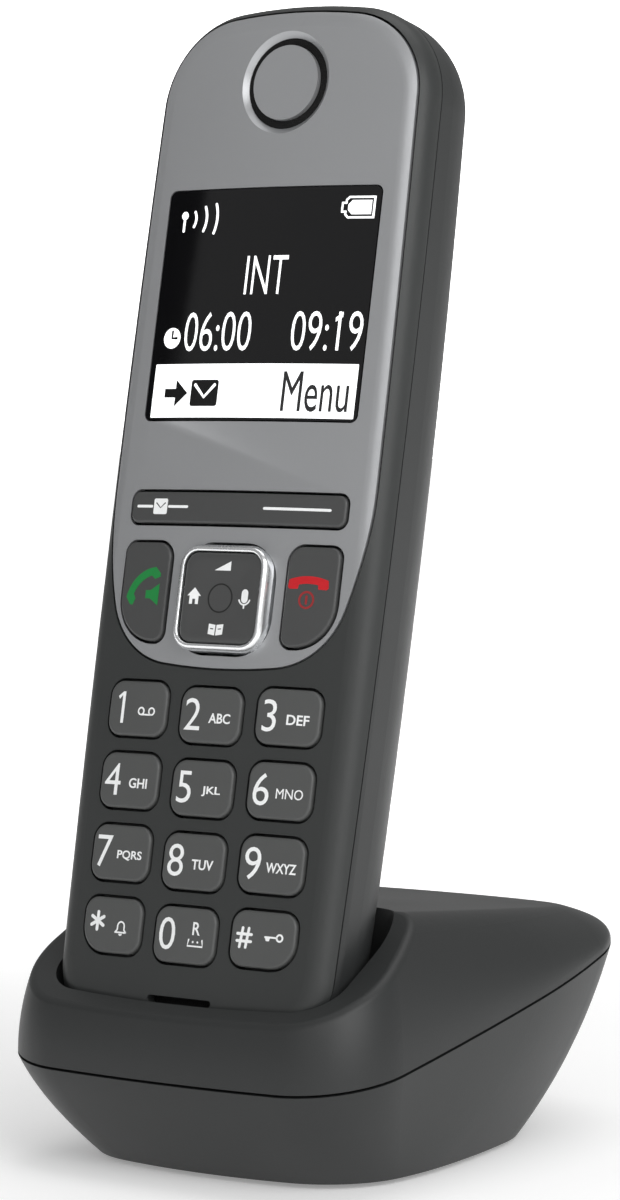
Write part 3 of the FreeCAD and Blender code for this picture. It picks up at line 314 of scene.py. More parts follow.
@dataclass(frozen=True)
class Plated:
    """Bare or plated metal, brushed along one axis or polished."""

    name: str
    colour: Colour
    roughness: float = 0.2
    streak: Size = (1.0, 1.0, 1.0)
    streak_depth: float = 0.000001
    streak_size: float = 0.0004
    haze_size: float = 0.006

    def build(self) -> bpy.types.Material:
        """Make the material.

        Returns:
            The finished material.
        """
        tree = ShaderTree(self.name)
        lines = tree.grain(self.streak_size, 3.0, self.streak)
        haze = tree.grain(self.haze_size, 2.0)
        return tree.surface({
            "Base Color": tree.blend(haze, tinted(self.colour, 0.94), tinted(self.colour, 1.04)),
            "Metallic": 1.0,
            "Roughness": lines * 0.08 + haze * 0.06 + (self.roughness - 0.05),
            "Normal": tree.bump(lines, self.streak_depth),
        })


@dataclass(frozen=True)
class Glassy:
    """Hard gloss: a window, glass or a clear light guide, with faint finger haze."""

    name: str
    colour: Colour
    roughness: float = 0.06
    shine: float = 0.5
    haze_size: float = 0.011
    haze_depth: float = 0.0000006
    scuff_size: float = 0.0009
    scuff_stretch: Size = (1.0, 7.0, 1.0)

    def build(self) -> bpy.types.Material:
        """Make the material.

        Returns:
            The finished material.
        """
        tree = ShaderTree(self.name)
        haze = tree.grain(self.haze_size, 3.0).step(0.45, 0.8)
        scuff = tree.grain(self.scuff_size, 2.0, self.scuff_stretch)
        return tree.surface({
            "Base Color": tree.blend(haze, self.colour, tinted(self.colour, 1.1)),
            "Roughness": haze * 0.05 + scuff * 0.02 + self.roughness,
            "Specular IOR Level": self.shine,
            "Normal": tree.bump(haze, self.haze_depth),
        })


@dataclass(frozen=True)
class Ink:
    """Printed ink: a slightly uneven lay and soft edges in its gloss."""

    name: str
    colour: Colour
    roughness: float = 0.45
    glow: float = 0.0
    lay_size: float = 0.0005
    lay_depth: float = 0.000003

    def build(self) -> bpy.types.Material:
        """Make the material.

        Returns:
            The finished material.
        """
        tree = ShaderTree(self.name)
        lay = tree.grain(self.lay_size, 3.0)
        shade = tree.blend(lay, tinted(self.colour, 0.92), tinted(self.colour, 1.04))
        sockets = {"Base Color": shade, "Roughness": lay * 0.12 + (self.roughness - 0.06),
                   "Normal": tree.bump(lay, self.lay_depth)}
        if self.glow:
            sockets |= {"Emission Color": shade, "Emission Strength": self.glow}
        return tree.surface(sockets)


@dataclass(frozen=True)
class Rubbery:
    """Soft rubber or silicone: dull, with a dusty bloom."""

    name: str
    colour: Colour
    roughness: float = 0.78
    dust_size: float = 0.002
    pore_size: float = 0.00025
    pore_depth: float = 0.00002

    def build(self) -> bpy.types.Material:
        """Make the material.

        Returns:
            The finished material.
        """
        tree = ShaderTree(self.name)
        dust = tree.grain(self.dust_size, 4.0).step(0.4, 0.75)
        pores = tree.grain(self.pore_size, 2.0)
        return tree.surface({
            "Base Color": tree.blend(dust, self.colour, tinted(self.colour, 1.5)),
            "Roughness": dust * 0.12 + (self.roughness - 0.05),
            "Specular IOR Level": 0.3,
            "Normal": tree.bump(pores, self.pore_depth),
        })


@dataclass(frozen=True)
class Woven:
    """Fine woven cloth or punched mesh over a sound opening."""

    name: str
    colour: Colour
    pitch: float = 0.00035
    thread_depth: float = 0.00008

    def build(self) -> bpy.types.Material:
        """Make the material.

        Returns:
            The finished material.
        """
        tree = ShaderTree(self.name)
        waves = []
        for direction in ("X", "Z"):
            settings = {"wave_type": "BANDS", "bands_direction": direction}
            inputs = {"Vector": tree.place, "Scale": WAVE_STEP / self.pitch}
            waves.append(tree.node("ShaderNodeTexWave", settings, inputs, output=1))
        weave = waves[0] * waves[1]
        return tree.surface({
            "Base Color": tree.blend(weave, tinted(self.colour, 0.4), tinted(self.colour, 1.6)),
            "Roughness": weave * 0.2 + 0.6,
            "Specular IOR Level": 0.25,
            "Normal": tree.bump(weave, self.thread_depth),
        })


@dataclass(frozen=True)
class CircuitBoard:
    """Solder mask over copper tracks and pads."""

    name: str
    mask: Colour = (0.012, 0.11, 0.045)
    track: Colour = (0.03, 0.2, 0.07)
    pad: Colour = (0.62, 0.48, 0.2)
    track_scale: float = 420.0
    track_depth: float = 0.00003
    pad_scale: float = 300.0

    def build(self) -> bpy.types.Material:
        """Make the material.

        Returns:
            The finished material.
        """
        tree = ShaderTree(self.name)
        settings = {"feature": "F1", "distance": "MANHATTAN"}
        cells = tree.node("ShaderNodeTexVoronoi", settings, {"Vector": tree.place, "Scale": self.track_scale})
        tracks = 1 - cells.step(0.34, 0.4)
        inputs = {"Vector": tree.place, "Scale": self.pad_scale, "Randomness": 0.25}
        pads = 1 - tree.node("ShaderNodeTexVoronoi", {}, inputs).step(0.1, 0.13)
        return tree.surface({
            "Base Color": tree.blend(pads, tree.blend(tracks, self.mask, self.track), self.pad),
            "Metallic": pads,
            "Roughness": 0.42 - tracks * 0.1,
            "Normal": tree.bump(tracks, self.track_depth),
        })


@dataclass(frozen=True)
class CellSleeve:
    """Shrunk plastic sleeve of a rechargeable cell, with one light band."""

    name: str
    along: Place
    middle: float
    colour: Colour = (0.03, 0.2, 0.1)
    band: Colour = (0.72, 0.74, 0.72)
    can: Colour = (0.6, 0.6, 0.58)
    half_band: float = 0.006
    band_edge: float = 0.0002
    half_can: float = 0.0214
    can_edge: float = 0.0003
    wrinkle_size: float = 0.0016
    wrinkle_depth: float = 0.00004

    def build(self) -> bpy.types.Material:
        """Make the material.

        Returns:
            The finished material.
        """
        tree = ShaderTree(self.name)
        inputs = {0: tree.place, 1: self.along}
        length = tree.node("ShaderNodeVectorMath", {"operation": "DOT_PRODUCT"}, inputs, output="Value")
        off = tree.node("ShaderNodeMath", {"operation": "ABSOLUTE"}, {0: length - self.middle})
        in_band = 1 - off.step(self.half_band - self.band_edge, self.half_band + self.band_edge)
        bare = off.step(self.half_can, self.half_can + self.can_edge)
        sleeve = tree.blend(in_band, self.colour, self.band)
        wrinkle = tree.grain(self.wrinkle_size, 3.0)
        return tree.surface({
            "Base Color": tree.blend(bare, sleeve, self.can),
            "Metallic": bare,
            "Roughness": wrinkle * 0.12 + 0.26,
            "Coat Weight": 0.4,
            "Normal": tree.bump(wrinkle, self.wrinkle_depth),
        })


@dataclass(frozen=True)
class BlankLabel:
    """A blank silver label: fine rules and no lettering."""

    name: str
    colour: Colour = (0.62, 0.63, 0.64)
    rule_scale: float = 70.0
    speck_size: float = 0.0004
    speck_depth: float = 0.000004

    def build(self) -> bpy.types.Material:
        """Make the material.

        Returns:
            The finished material.
        """
        tree = ShaderTree(self.name)
        settings = {"wave_type": "BANDS", "bands_direction": "Y", "wave_profile": "SIN"}
        inputs = {"Vector": tree.place, "Scale": self.rule_scale}
        rules = tree.node("ShaderNodeTexWave", settings, inputs, output=1).step(0.93, 0.97)
        speck = tree.grain(self.speck_size, 2.0)
        return tree.surface({
            "Base Color": tree.blend(rules, self.colour, tinted(self.colour, 0.55)),
            "Metallic": 0.35,
            "Roughness": speck * 0.1 + 0.35,
            "Normal": tree.bump(speck, self.speck_depth),
        })


@dataclass(frozen=True)
class GlowingFloorPaper:
    """White studio paper with a painted glow: its emission is weaker near the object, as painted shade round
    it, and stronger away from it, so the far floor reads white.
    """

    name: str
    # near and far: strength of the painted glow close to the object and away from it
    near: float = 0.26
    far: float = 0.85
    near_edge: float = 0.1
    far_edge: float = 0.42
    fibre_size: float = 0.0008
    fibre_depth: float = 0.00001

    def build(self) -> bpy.types.Material:
        """Make the material.

        Returns:
            The finished material.
        """
        tree = ShaderTree(self.name)
        length = tree.node("ShaderNodeVectorMath", {"operation": "LENGTH"}, {0: tree.place}, output="Value")
        share = length.step(self.near_edge, self.far_edge)
        fibre = tree.grain(self.fibre_size, 3.0)
        return tree.surface({
            "Base Color": tree.blend(fibre, (0.88, 0.88, 0.88), (0.92, 0.92, 0.92)),
            "Roughness": 0.85,
            "Specular IOR Level": 0.1,
            # painted light: the emission is weaker near the object, standing in for its shade on the floor,
            # and stronger away from it
            "Emission Color": tree.blend(share, (self.near,) * 3, (self.far,) * 3),
            "Emission Strength": 1.0,
            "Normal": tree.bump(fibre, self.fibre_depth),
        })


Finish = Union[Moulded, FlakePaint, Plated, Glassy, Ink, Rubbery, Woven, CircuitBoard, CellSleeve,
               BlankLabel, GlowingFloorPaper]


class Paintbox:
    """Builds each finish once and puts it on pieces."""

    def __init__(self) -> None:
        """Start with nothing built."""
        self.made: dict[str, bpy.types.Material] = {}

    def dress(self, thing: bpy.types.Object, finish: Finish) -> None:
        """Put a finish on an object.

        Args:
            thing: A CAD node's object or a new piece.
            finish: The finish; it is built on its first use.
        """
        if finish.name not in self.made:
            self.made[finish.name] = finish.build()
        thing.data.materials.clear()
        thing.data.materials.append(self.made[finish.name])

    def dress_nodes(self, finish: Finish, names: Iterable[str]) -> None:
        """Put a finish on CAD nodes.

        Args:
            finish: The finish.
            names: The nodes' names.
        """
        for name in names:
            self.dress(frame["nodes"][name], finish)
            LOG.info("%s wears %s", name, finish.name)


PAINT = Paintbox()

SHELL = Moulded("shell_satin", (0.027, 0.029, 0.0285), roughness=0.46)
BACK = Moulded("back_satin", (0.025, 0.0265, 0.0265), roughness=0.44)
CASING = Moulded("casing_satin", (0.022, 0.0235, 0.0235), roughness=0.45)
KEYCAP = Moulded("keycap_satin", (0.072, 0.074, 0.073), roughness=0.42, grain_depth=0.000006)
DARK_KEY = Moulded("upper_key_satin", (0.055, 0.056, 0.056), roughness=0.38, grain_depth=0.000005)
SOCKET = Moulded("socket_black", (0.012, 0.012, 0.012), roughness=0.55)
SPEAKER = Moulded("speaker_black", (0.03, 0.03, 0.032), roughness=0.4)
PLATE = FlakePaint("plate_paint", (0.365, 0.371, 0.381))
CHROME = Plated("bright_rim", (0.9, 0.91, 0.92), roughness=0.24)
STEEL = Plated("steel", (0.56, 0.56, 0.55), roughness=0.3, streak=(1.0, 9.0, 1.0), streak_depth=0.000004)
GOLD = Plated("gold_plate", (0.83, 0.62, 0.27), roughness=0.22)
WINDOW = Glassy("window_gloss", (0.003, 0.003, 0.0035))
LCD = Glassy("display_glass", (0.05, 0.055, 0.06), roughness=0.1)
GUIDE = Glassy("light_guide", (0.7, 0.73, 0.75), roughness=0.15)
WHITE_INK = Ink("white_ink", (0.83, 0.84, 0.84))
GREEN_INK = Ink("green_ink", (0.002, 0.2, 0.036))
RED_INK = Ink("red_ink", (0.5, 0.002, 0.008))
DULL_RED = Ink("dull_red_ink", (0.27, 0.014, 0.016))
RING_INK = Ink("ring_ink", (0.006, 0.006, 0.006))
LIT = Ink("lit_dots", (0.9, 0.91, 0.92), roughness=0.2, glow=0.75)
UNLIT = Ink("unlit_dots", (0.003, 0.003, 0.003), roughness=0.2)
UNLIT_GREY = Ink("grey_dots", (0.02, 0.02, 0.021), roughness=0.2)
RUBBER = Rubbery("rubber_black", (0.014, 0.014, 0.014))
SILICONE = Rubbery("silicone_grey", (0.22, 0.22, 0.22), roughness=0.6)
MESH = Woven("sound_mesh", (0.004, 0.004, 0.004))
BOARD = CircuitBoard("circuit_board")
LABEL = BlankLabel("blank_label")


# ---------------------------------------------------------------- the handset's frame

@dataclass
class HandsetFrame:
    """The handset's own frame, in millimetres: across, along to the top, out of the keypad.

    Its origin is worked out from the hinge of the battery door, whose place is known in it.
    """

    hinge_along: float = 34.2
    hinge_out: float = -20.2

    def __post_init__(self) -> None:
        """Read the lean and the origin from the joints."""
        joints = {joint["name"]: joint for joint in frame["joints"]}
        along = Vector(joints["handset_lift"]["axis"]).normalized()
        out = -Vector(joints["key_5_press"]["axis"]).normalized()
        turn = Matrix((along.cross(out), along, out)).transposed()
        hinge = Vector(joints["battery_door_open"]["pos_m"])
        origin = hinge - (along * self.hinge_along + out * self.hinge_out) * MM
        self.matrix = Matrix.Translation(origin) @ turn.to_4x4() @ Matrix.Scale(MM, 4)

    def span(self, node: str) -> tuple[Vector, Vector]:
        """Lowest and highest corner of a node, in this frame.

        Args:
            node: The node's name.

        Returns:
            Two corners in millimetres.
        """
        back = self.matrix.inverted()
        spots = [back @ corner.co for corner in frame["nodes"][node].data.vertices]
        low = Vector(min(spot[axis] for spot in spots) for axis in range(3))
        high = Vector(max(spot[axis] for spot in spots) for axis in range(3))
        return low, high

    def middle(self, node: str) -> Point:
        """Middle of a node, across and along."""
        low, high = self.span(node)
        return (low.x + high.x) / 2, (low.y + high.y) / 2


HANDSET = HandsetFrame()


class Side(Enum):
    """Which side of the handset a surface is read from."""

    FACE = 1.0
    BACK = -1.0


class Skin:
    """The outer surface of a piece, as a height over the handset's frame."""

    def __init__(self, thing: bpy.types.Object, side: Side = Side.FACE) -> None:
        """Read the piece's surface.

        Args:
            thing: The CAD node's object or the new piece.
            side: The side that it is looked at from.
        """
        mesh = thing.data
        back = HANDSET.matrix.inverted()
        corners = [back @ corner.co for corner in mesh.vertices]
        self.tree = BVHTree.FromPolygons(corners, [tuple(face.vertices) for face in mesh.polygons])
        self.side = side.value

    def height(self, across: float, along: float) -> float:
        """Height of the surface over one spot.

        Args:
            across: The spot's place across, in millimetres.
            along: Its place along.

        Returns:
            The height, in millimetres.
        """
        far = 40.0 * self.side
        spot = self.tree.ray_cast(Vector((across, along, far)), Vector((0.0, 0.0, -self.side)))[0]
        if spot is None:
            spot = self.tree.find_nearest(Vector((across, along, 0.0)))[0]
        return spot.z


# ---------------------------------------------------------------- flat shapes

def arc(centre: Point, radius: float, start: float, end: float, steps: int = 16) -> Loop:
    """Points along an arc.

    Args:
        centre: Its centre.
        radius: Its radius.
        start: Its first angle, in degrees.
        end: Its last angle.
        steps: How many pieces it has.

    Returns:
        The points.
    """
    angles = (math.radians(start + (end - start) * n / steps) for n in range(steps + 1))
    return [(centre[0] + radius * math.cos(turn), centre[1] + radius * math.sin(turn)) for turn in angles]


def circle(centre: Point, radius: float, steps: int = 32) -> Loop:
    """A closed circle."""
    return arc(centre, radius, 0, 360 * (steps - 1) / steps, steps - 1)


def tile(middle: Point, size: Point, corner: float) -> Loop:
    """A rectangle with round corners.

    Args:
        middle: Its middle.
        size: Its width and height.
        corner: Radius of its corners.

    Returns:
        The closed loop.
    """
    half = (size[0] / 2 - corner, size[1] / 2 - corner)
    loop: Loop = []
    for turn, (right, up) in enumerate(((1, 1), (-1, 1), (-1, -1), (1, -1))):
        centre = (middle[0] + right * half[0], middle[1] + up * half[1])
        loop += arc(centre, corner, 90 * turn, 90 * turn + 90, 5)
    return loop


def stroke(path: Loop, width: float) -> Loop:
    """The outline of a line with round ends.

    Args:
        path: The line's points, in order.
        width: Its width.

    Returns:
        The closed loop round it.
    """
    spots = [Vector(spot) for spot in path]
    half = width / 2
    left, right = [], []
    for index, spot in enumerate(spots):
        before = spots[max(index - 1, 0)]
        after = spots[min(index + 1, len(spots) - 1)]
        way = (after - before).normalized()
        side = Vector((-way.y, way.x)) * half
        left.append(tuple(spot + side))
        right.append(tuple(spot - side))
    caps = []
    for end, inner in ((spots[-1], spots[-2]), (spots[0], spots[1])):
        heading = math.degrees(math.atan2(end.y - inner.y, end.x - inner.x))
        caps.append(arc(tuple(end), half, heading + 90, heading - 90, 6)[1:-1])
    return left + caps[0] + right[::-1] + caps[1]


def moved(loop: Loop, by: Point) -> Loop:
    """The loop moved."""
    return [(spot[0] + by[0], spot[1] + by[1]) for spot in loop]


def turned(loop: Loop, degrees: float) -> Loop:
    """The loop turned about the origin."""
    cosine, sine = math.cos(math.radians(degrees)), math.sin(math.radians(degrees))
    return [(x * cosine - y * sine, x * sine + y * cosine) for x, y in loop]


def filled(loops: Sequence[Loop]) -> bpy.types.Mesh:
    """A flat mesh between closed loops; a loop inside another is a hole.

    Args:
        loops: The loops.

    Returns:
        The mesh.
    """
    curve = bpy.data.curves.new("flat", "CURVE")
    curve.dimensions = "2D"
    curve.fill_mode = "BOTH"
    for loop in loops:
        spline = curve.splines.new("POLY")
        spline.points.add(len(loop) - 1)
        for point, (across, along) in zip(spline.points, loop):
            point.co = (across, along, 0.0, 1.0)
        spline.use_cyclic_u = True
    return to_mesh(curve)


def to_mesh(curve: bpy.types.Curve) -> bpy.types.Mesh:
    """Turn a curve or text into a mesh and drop the curve.

    Args:
        curve: The curve or text data.

    Returns:
        The mesh.
    """
    holder = bpy.data.objects.new("holder", curve)
    bpy.context.scene.collection.objects.link(holder)
    bpy.context.view_layer.update()
    mesh = bpy.data.meshes.new_from_object(holder.evaluated_get(bpy.context.evaluated_depsgraph_get()))
    bpy.data.objects.remove(holder)
    bpy.data.curves.remove(curve)
    return mesh


@dataclass(frozen=True)
class Word:
    """A word or a digit, set to a height and, where it has one, a width."""

    text: str
    middle: Point
    height: float
    width: Optional[float] = None
    narrow: float = 0.82
    weight: float = 0.012

    def mesh(self) -> bpy.types.Mesh:
        """Set the letters flat, in their place.

        Returns:
            The mesh.
        """
        curve = bpy.data.curves.new("word", "FONT")
        curve.body = self.text
        curve.offset = self.weight
        curve.resolution_u = 4
        mesh = to_mesh(curve)
        across = [corner.co.x for corner in mesh.vertices]
        along = [corner.co.y for corner in mesh.vertices]
        tall = self.height / (max(along) - min(along))
        wide = self.width / (max(across) - min(across)) if self.width else tall * self.narrow
        centre = Vector(((max(across) + min(across)) / 2, (max(along) + min(along)) / 2, 0.0))
        place = Matrix.Translation((*self.middle, 0.0)) @ Matrix.Diagonal((wide, tall, 1.0, 1.0))
        mesh.transform(place @ Matrix.Translation(-centre))
        return mesh


@dataclass
class Print:
    """Printed marks: flat figures and words laid on a surface, with a little thickness."""

    name: str
    body: str
    finish: Finish
    slot: str
    figures: list[list[Loop]] = field(default_factory=list)
    words: list[Word] = field(default_factory=list)
    lift: float = 0.025
    sink: float = 0.05
    strip: float = 2.0

    def figure(self, *loops: Loop) -> None:
        """Add one figure; its later loops are holes."""
        self.figures.append(list(loops))

    def write(self, word: Word) -> None:
        """Add a word."""
        self.words.append(word)

    def lay(self, skin: Skin) -> bpy.types.Object:
        """Build the marks on a surface.

        Args:
            skin: The surface they lie on.

        Returns:
            The finished piece.
        """
        sheet = bmesh.new()
        flats = [filled(loops) for loops in self.figures] + [word.mesh() for word in self.words]
        for flat in flats:
            sheet.from_mesh(flat)
            bpy.data.meshes.remove(flat)
        bmesh.ops.remove_doubles(sheet, verts=sheet.verts, dist=0.0005)
        low = min(corner.co.x for corner in sheet.verts)
        high = max(corner.co.x for corner in sheet.verts)
        for cut in range(1, math.ceil((high - low) / self.strip)):
            bmesh.ops.bisect_plane(sheet, geom=[*sheet.verts, *sheet.edges, *sheet.faces], dist=0.0005,
                                   plane_co=(low + cut * self.strip, 0.0, 0.0), plane_no=(1.0, 0.0, 0.0))
        for face in sheet.faces:
            if face.normal.z < 0:
                face.normal_flip()
        grown = bmesh.ops.extrude_face_region(sheet, geom=sheet.faces[:], use_keep_orig=True)
        top = {item for item in grown["geom"] if isinstance(item, bmesh.types.BMVert)}
        for corner in sheet.verts:
            raised = self.lift if corner in top else -self.sink
            corner.co.z = skin.height(corner.co.x, corner.co.y) + raised * skin.side
        bmesh.ops.recalc_face_normals(sheet, faces=sheet.faces[:])
        return finish_piece(self.name, sheet, self.body, self.finish, HANDSET.matrix)


def finish_piece(name: str, shape: bmesh.types.BMesh, body: str, finish: Finish,
                 place: Matrix, smooth: bool = False) -> bpy.types.Object:
    """Turn a built shape into a dressed piece that rides on a body.

    Args:
        name: The piece's name.
        shape: The built shape; it is freed.
        body: The body it rides on.
        finish: Its finish.
        place: From the shape's frame to the row frame.
        smooth: Whether its faces are shaded smoothly.

    Returns:
        The piece.
    """
    shape.transform(place)
    for face in shape.faces:
        face.smooth = smooth
    mesh = bpy.data.meshes.new(name)
    shape.to_mesh(mesh)
    shape.free()
    piece = bpy.data.objects.new(name, mesh)
    bpy.context.scene.collection.objects.link(piece)
    PAINT.dress(piece, finish)
    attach(piece, body)
    LOG.info("%s rides on %s with %d faces", name, body, len(mesh.polygons))
    return piece


def round_block(shape: bmesh.types.BMesh, middle: Vector, size: Vector,
                corner: float) -> list[bmesh.types.BMVert]:
    """Add a block with rounded edges.

    Args:
        shape: The shape it is added to.
        middle: Its middle.
        size: Its three sizes.
        corner: Radius of its edges.

    Returns:
        The block's corners.
    """
    before = set(shape.verts)
    made = bmesh.ops.create_cube(shape, size=1.0)
    bmesh.ops.scale(shape, vec=size, verts=made["verts"])
    bmesh.ops.translate(shape, vec=middle, verts=made["verts"])
    edges = list({edge for corner_vert in made["verts"] for edge in corner_vert.link_edges})
    bmesh.ops.bevel(shape, geom=edges, offset=corner, affect="EDGES", segments=3, profile=0.5, material=-1)
    return [corner_vert for corner_vert in shape.verts if corner_vert not in before]


def loft(shape: bmesh.types.BMesh, rings: Sequence[tuple[Loop, float]], closed: bool) -> None:
    """Add a solid that runs through rings of equally many points.

    Args:
        shape: The shape it is added to.
        rings: Each ring's loop and its height.
        closed: Whether the last ring joins the first; otherwise the two ends are filled.
    """
    first, height = rings[0]
    corners = [shape.verts.new((*spot, height)) for spot in first]
    edges = first_edges = [shape.edges.new(pair) for pair in zip(corners, corners[1:] + corners[:1])]
    for loop, height in [*rings[1:], *rings[:1]] if closed else rings[1:]:
        order = {corner.co.to_tuple(5): index for index, corner in enumerate(corners)}
        grown = bmesh.ops.extrude_edge_only(shape, edges=edges)["geom"]
        fresh = [item for item in grown if isinstance(item, bmesh.types.BMVert)]
        corners = sorted(fresh, key=lambda corner: order[corner.co.to_tuple(5)])
        edges = [item for item in grown if isinstance(item, bmesh.types.BMEdge)
                 and item.verts[0] in fresh and item.verts[1] in fresh]
        for corner, spot in zip(corners, loop):
            corner.co = (*spot, height)
    if closed:
        bmesh.ops.remove_doubles(shape, verts=shape.verts, dist=0.0001)
    else:
        for end in (first_edges, edges):
            bmesh.ops.edgeloop_fill(shape, edges=end)
    bmesh.ops.recalc_face_normals(shape, faces=shape.faces[:])


# ---------------------------------------------------------------- keys

Drawer = Callable[[Print, Point], None]


class Sign(Enum):
    """The small sign beside a digit that has no letters."""

    MESSAGES = "1"
    BELL = "star"
    RECALL = "0"
    LOCK = "hash"


@dataclass
class Keypad:
    """The twelve number keys and their legends, in millimetres from each key's middle."""

    digit_middle: Point = (-2.95, 0.1)
    digit_height: float = 4.6
    digit_narrow: float = 0.96
    digit_weight: float = -0.004
    digit_line: float = 0.5
    sign_middle: Point = (1.75, -0.35)
    letter_height: float = 1.45
    letter_weight: float = 0.018
    line: float = 0.24
    letters: dict[str, tuple[str, float]] = field(default_factory=lambda: {
        "2": ("ABC", 3.7), "3": ("DEF", 3.7), "4": ("GHI", 3.3), "5": ("JKL", 3.2),
        "6": ("MNO", 4.4), "7": ("PQRS", 4.5), "8": ("TUV", 3.7), "9": ("WXYZ", 4.9)})

    def build(self) -> None:
        """Dress every key and print its legend."""
        names = [node for node in frame["nodes"] if node.startswith("key_") and node[4:] in
                 ("star", "hash", *"0123456789")]
        PAINT.dress_nodes(KEYCAP, names)
        for node in names:
            self.print_legend(node)

    def print_legend(self, node: str) -> None:
        """Print one key's digit and its letters or sign.

        Args:
            node: The key's node.
        """
        mark = node[4:]
        legend = Print("legend_" + mark, node, WHITE_INK, "print_white", strip=3.0)
        centre = HANDSET.middle(node)
        digit = (centre[0] + self.digit_middle[0], centre[1] + self.digit_middle[1])
        beside = (centre[0] + self.sign_middle[0], centre[1] + self.sign_middle[1])
        drawn: dict[str, Drawer] = {"star": self.draw_star, "hash": self.draw_hash, "1": self.draw_one}
        if mark in drawn:
            drawn[mark](legend, digit)
        else:
            legend.write(Word(mark, digit, self.digit_height, narrow=self.digit_narrow,
                              weight=self.digit_weight))
        if mark in self.letters:
            text, width = self.letters[mark]
            # the outline of an M breaks when it is made heavier
            weight = 0.0 if "M" in text else self.letter_weight
            legend.write(Word(text, beside, self.letter_height, width, weight=weight))
        else:
            signs: dict[Sign, Drawer] = {Sign.MESSAGES: self.draw_messages, Sign.BELL: self.draw_bell,
                                         Sign.RECALL: self.draw_recall, Sign.LOCK: self.draw_lock}
            signs[Sign(mark)](legend, beside)
        legend.lay(Skin(frame["nodes"][node]))

    def draw_one(self, legend: Print, spot: Point) -> None:
        """The digit one, with its flag.

        Args:
            legend: The print that it is added to.
            spot: Its place.
        """
        half = self.digit_height / 2
        line = self.digit_line
        outline = [(0.55 - line, -half), (0.55, -half), (0.55, half), (0.15, half), (-0.75, half - 0.72),
                   (-0.5, half - 1.12), (0.55 - line, half - 0.5)]
        legend.figure(moved(outline, spot))

    def draw_star(self, legend: Print, spot: Point) -> None:
        """A six-armed star.

        Args:
            legend: The print that it is added to.
            spot: Its place.
        """
        for turn in (90, 30, 150):
            arm = turned([(-1.25, 0.0), (1.25, 0.0)], turn)
            legend.figure(moved(stroke(arm, self.digit_line), (spot[0] + 0.3, spot[1] + 0.4)))

    def draw_hash(self, legend: Print, spot: Point) -> None:
        """A hash sign.

        Args:
            legend: The print that it is added to.
            spot: Its place.
        """
        for offset in (-0.5, 0.5):
            legend.figure(moved(stroke([(offset - 0.15, -1.35), (offset + 0.15, 1.35)], 0.42), spot))
            legend.figure(moved(stroke([(-1.15, offset), (1.15, offset)], 0.42), spot))

    def draw_messages(self, legend: Print, spot: Point) -> None:
        """Two reels joined by a bar: recorded messages.

        Args:
            legend: The print that it is added to.
            spot: Its place.
        """
        for across in (-0.95, 0.95):
            centre = (spot[0] + across, spot[1])
            legend.figure(circle(centre, 0.62), circle(centre, 0.62 - self.line))
        legend.figure(stroke([(spot[0] - 0.95, spot[1] - 0.5), (spot[0] + 0.95, spot[1] - 0.5)], self.line))

    def draw_bell(self, legend: Print, spot: Point) -> None:
        """An open bell with its clapper.

        Args:
            legend: The print that it is added to.
            spot: Its place.
        """
        side = [(-0.95, -0.55), (-0.62, -0.2), (-0.6, 0.35)]
        dome = arc((0.0, 0.35), 0.6, 180, 0, 10)[1:-1]
        bell = side + dome + [(-across, along) for across, along in side[::-1]]
        legend.figure(moved(stroke(bell, self.line), spot))
        legend.figure(moved(stroke([(-0.95, -0.58), (0.95, -0.58)], self.line), spot))
        legend.figure(moved(arc((0.0, -0.78), 0.3, 180, 360, 8), spot))

    def draw_recall(self, legend: Print, spot: Point) -> None:
        """The recall letter over a small tray.

        Args:
            legend: The print that it is added to.
            spot: Its place.
        """
        legend.write(Word("R", (spot[0] + 0.3, spot[1] + 1.45), 1.85, 1.3, weight=0.01))
        tray = [(-0.85, -0.15), (-1.0, -1.05), (1.6, -1.05), (1.45, -0.15)]
        legend.figure(moved(stroke(tray, 0.24), spot))
        for across in (-0.1, 0.7):
            legend.figure(moved(circle((across, -0.45), 0.16, 10), spot))

    def draw_lock(self, legend: Print, spot: Point) -> None:
        """A small key that lies on its side.

        Args:
            legend: The print that it is added to.
            spot: Its place.
        """
        spot = (spot[0], spot[1] + 0.8)
        legend.figure(moved(circle((1.05, 0.0), 0.6), spot), moved(circle((1.05, 0.0), 0.33), spot))
        legend.figure(moved(stroke([(-1.3, 0.0), (0.5, 0.0)], 0.26), spot))
        legend.figure(moved([(-1.4, 0.12), (-0.45, 0.12), (-0.62, -0.55), (-1.1, -0.55)], spot))


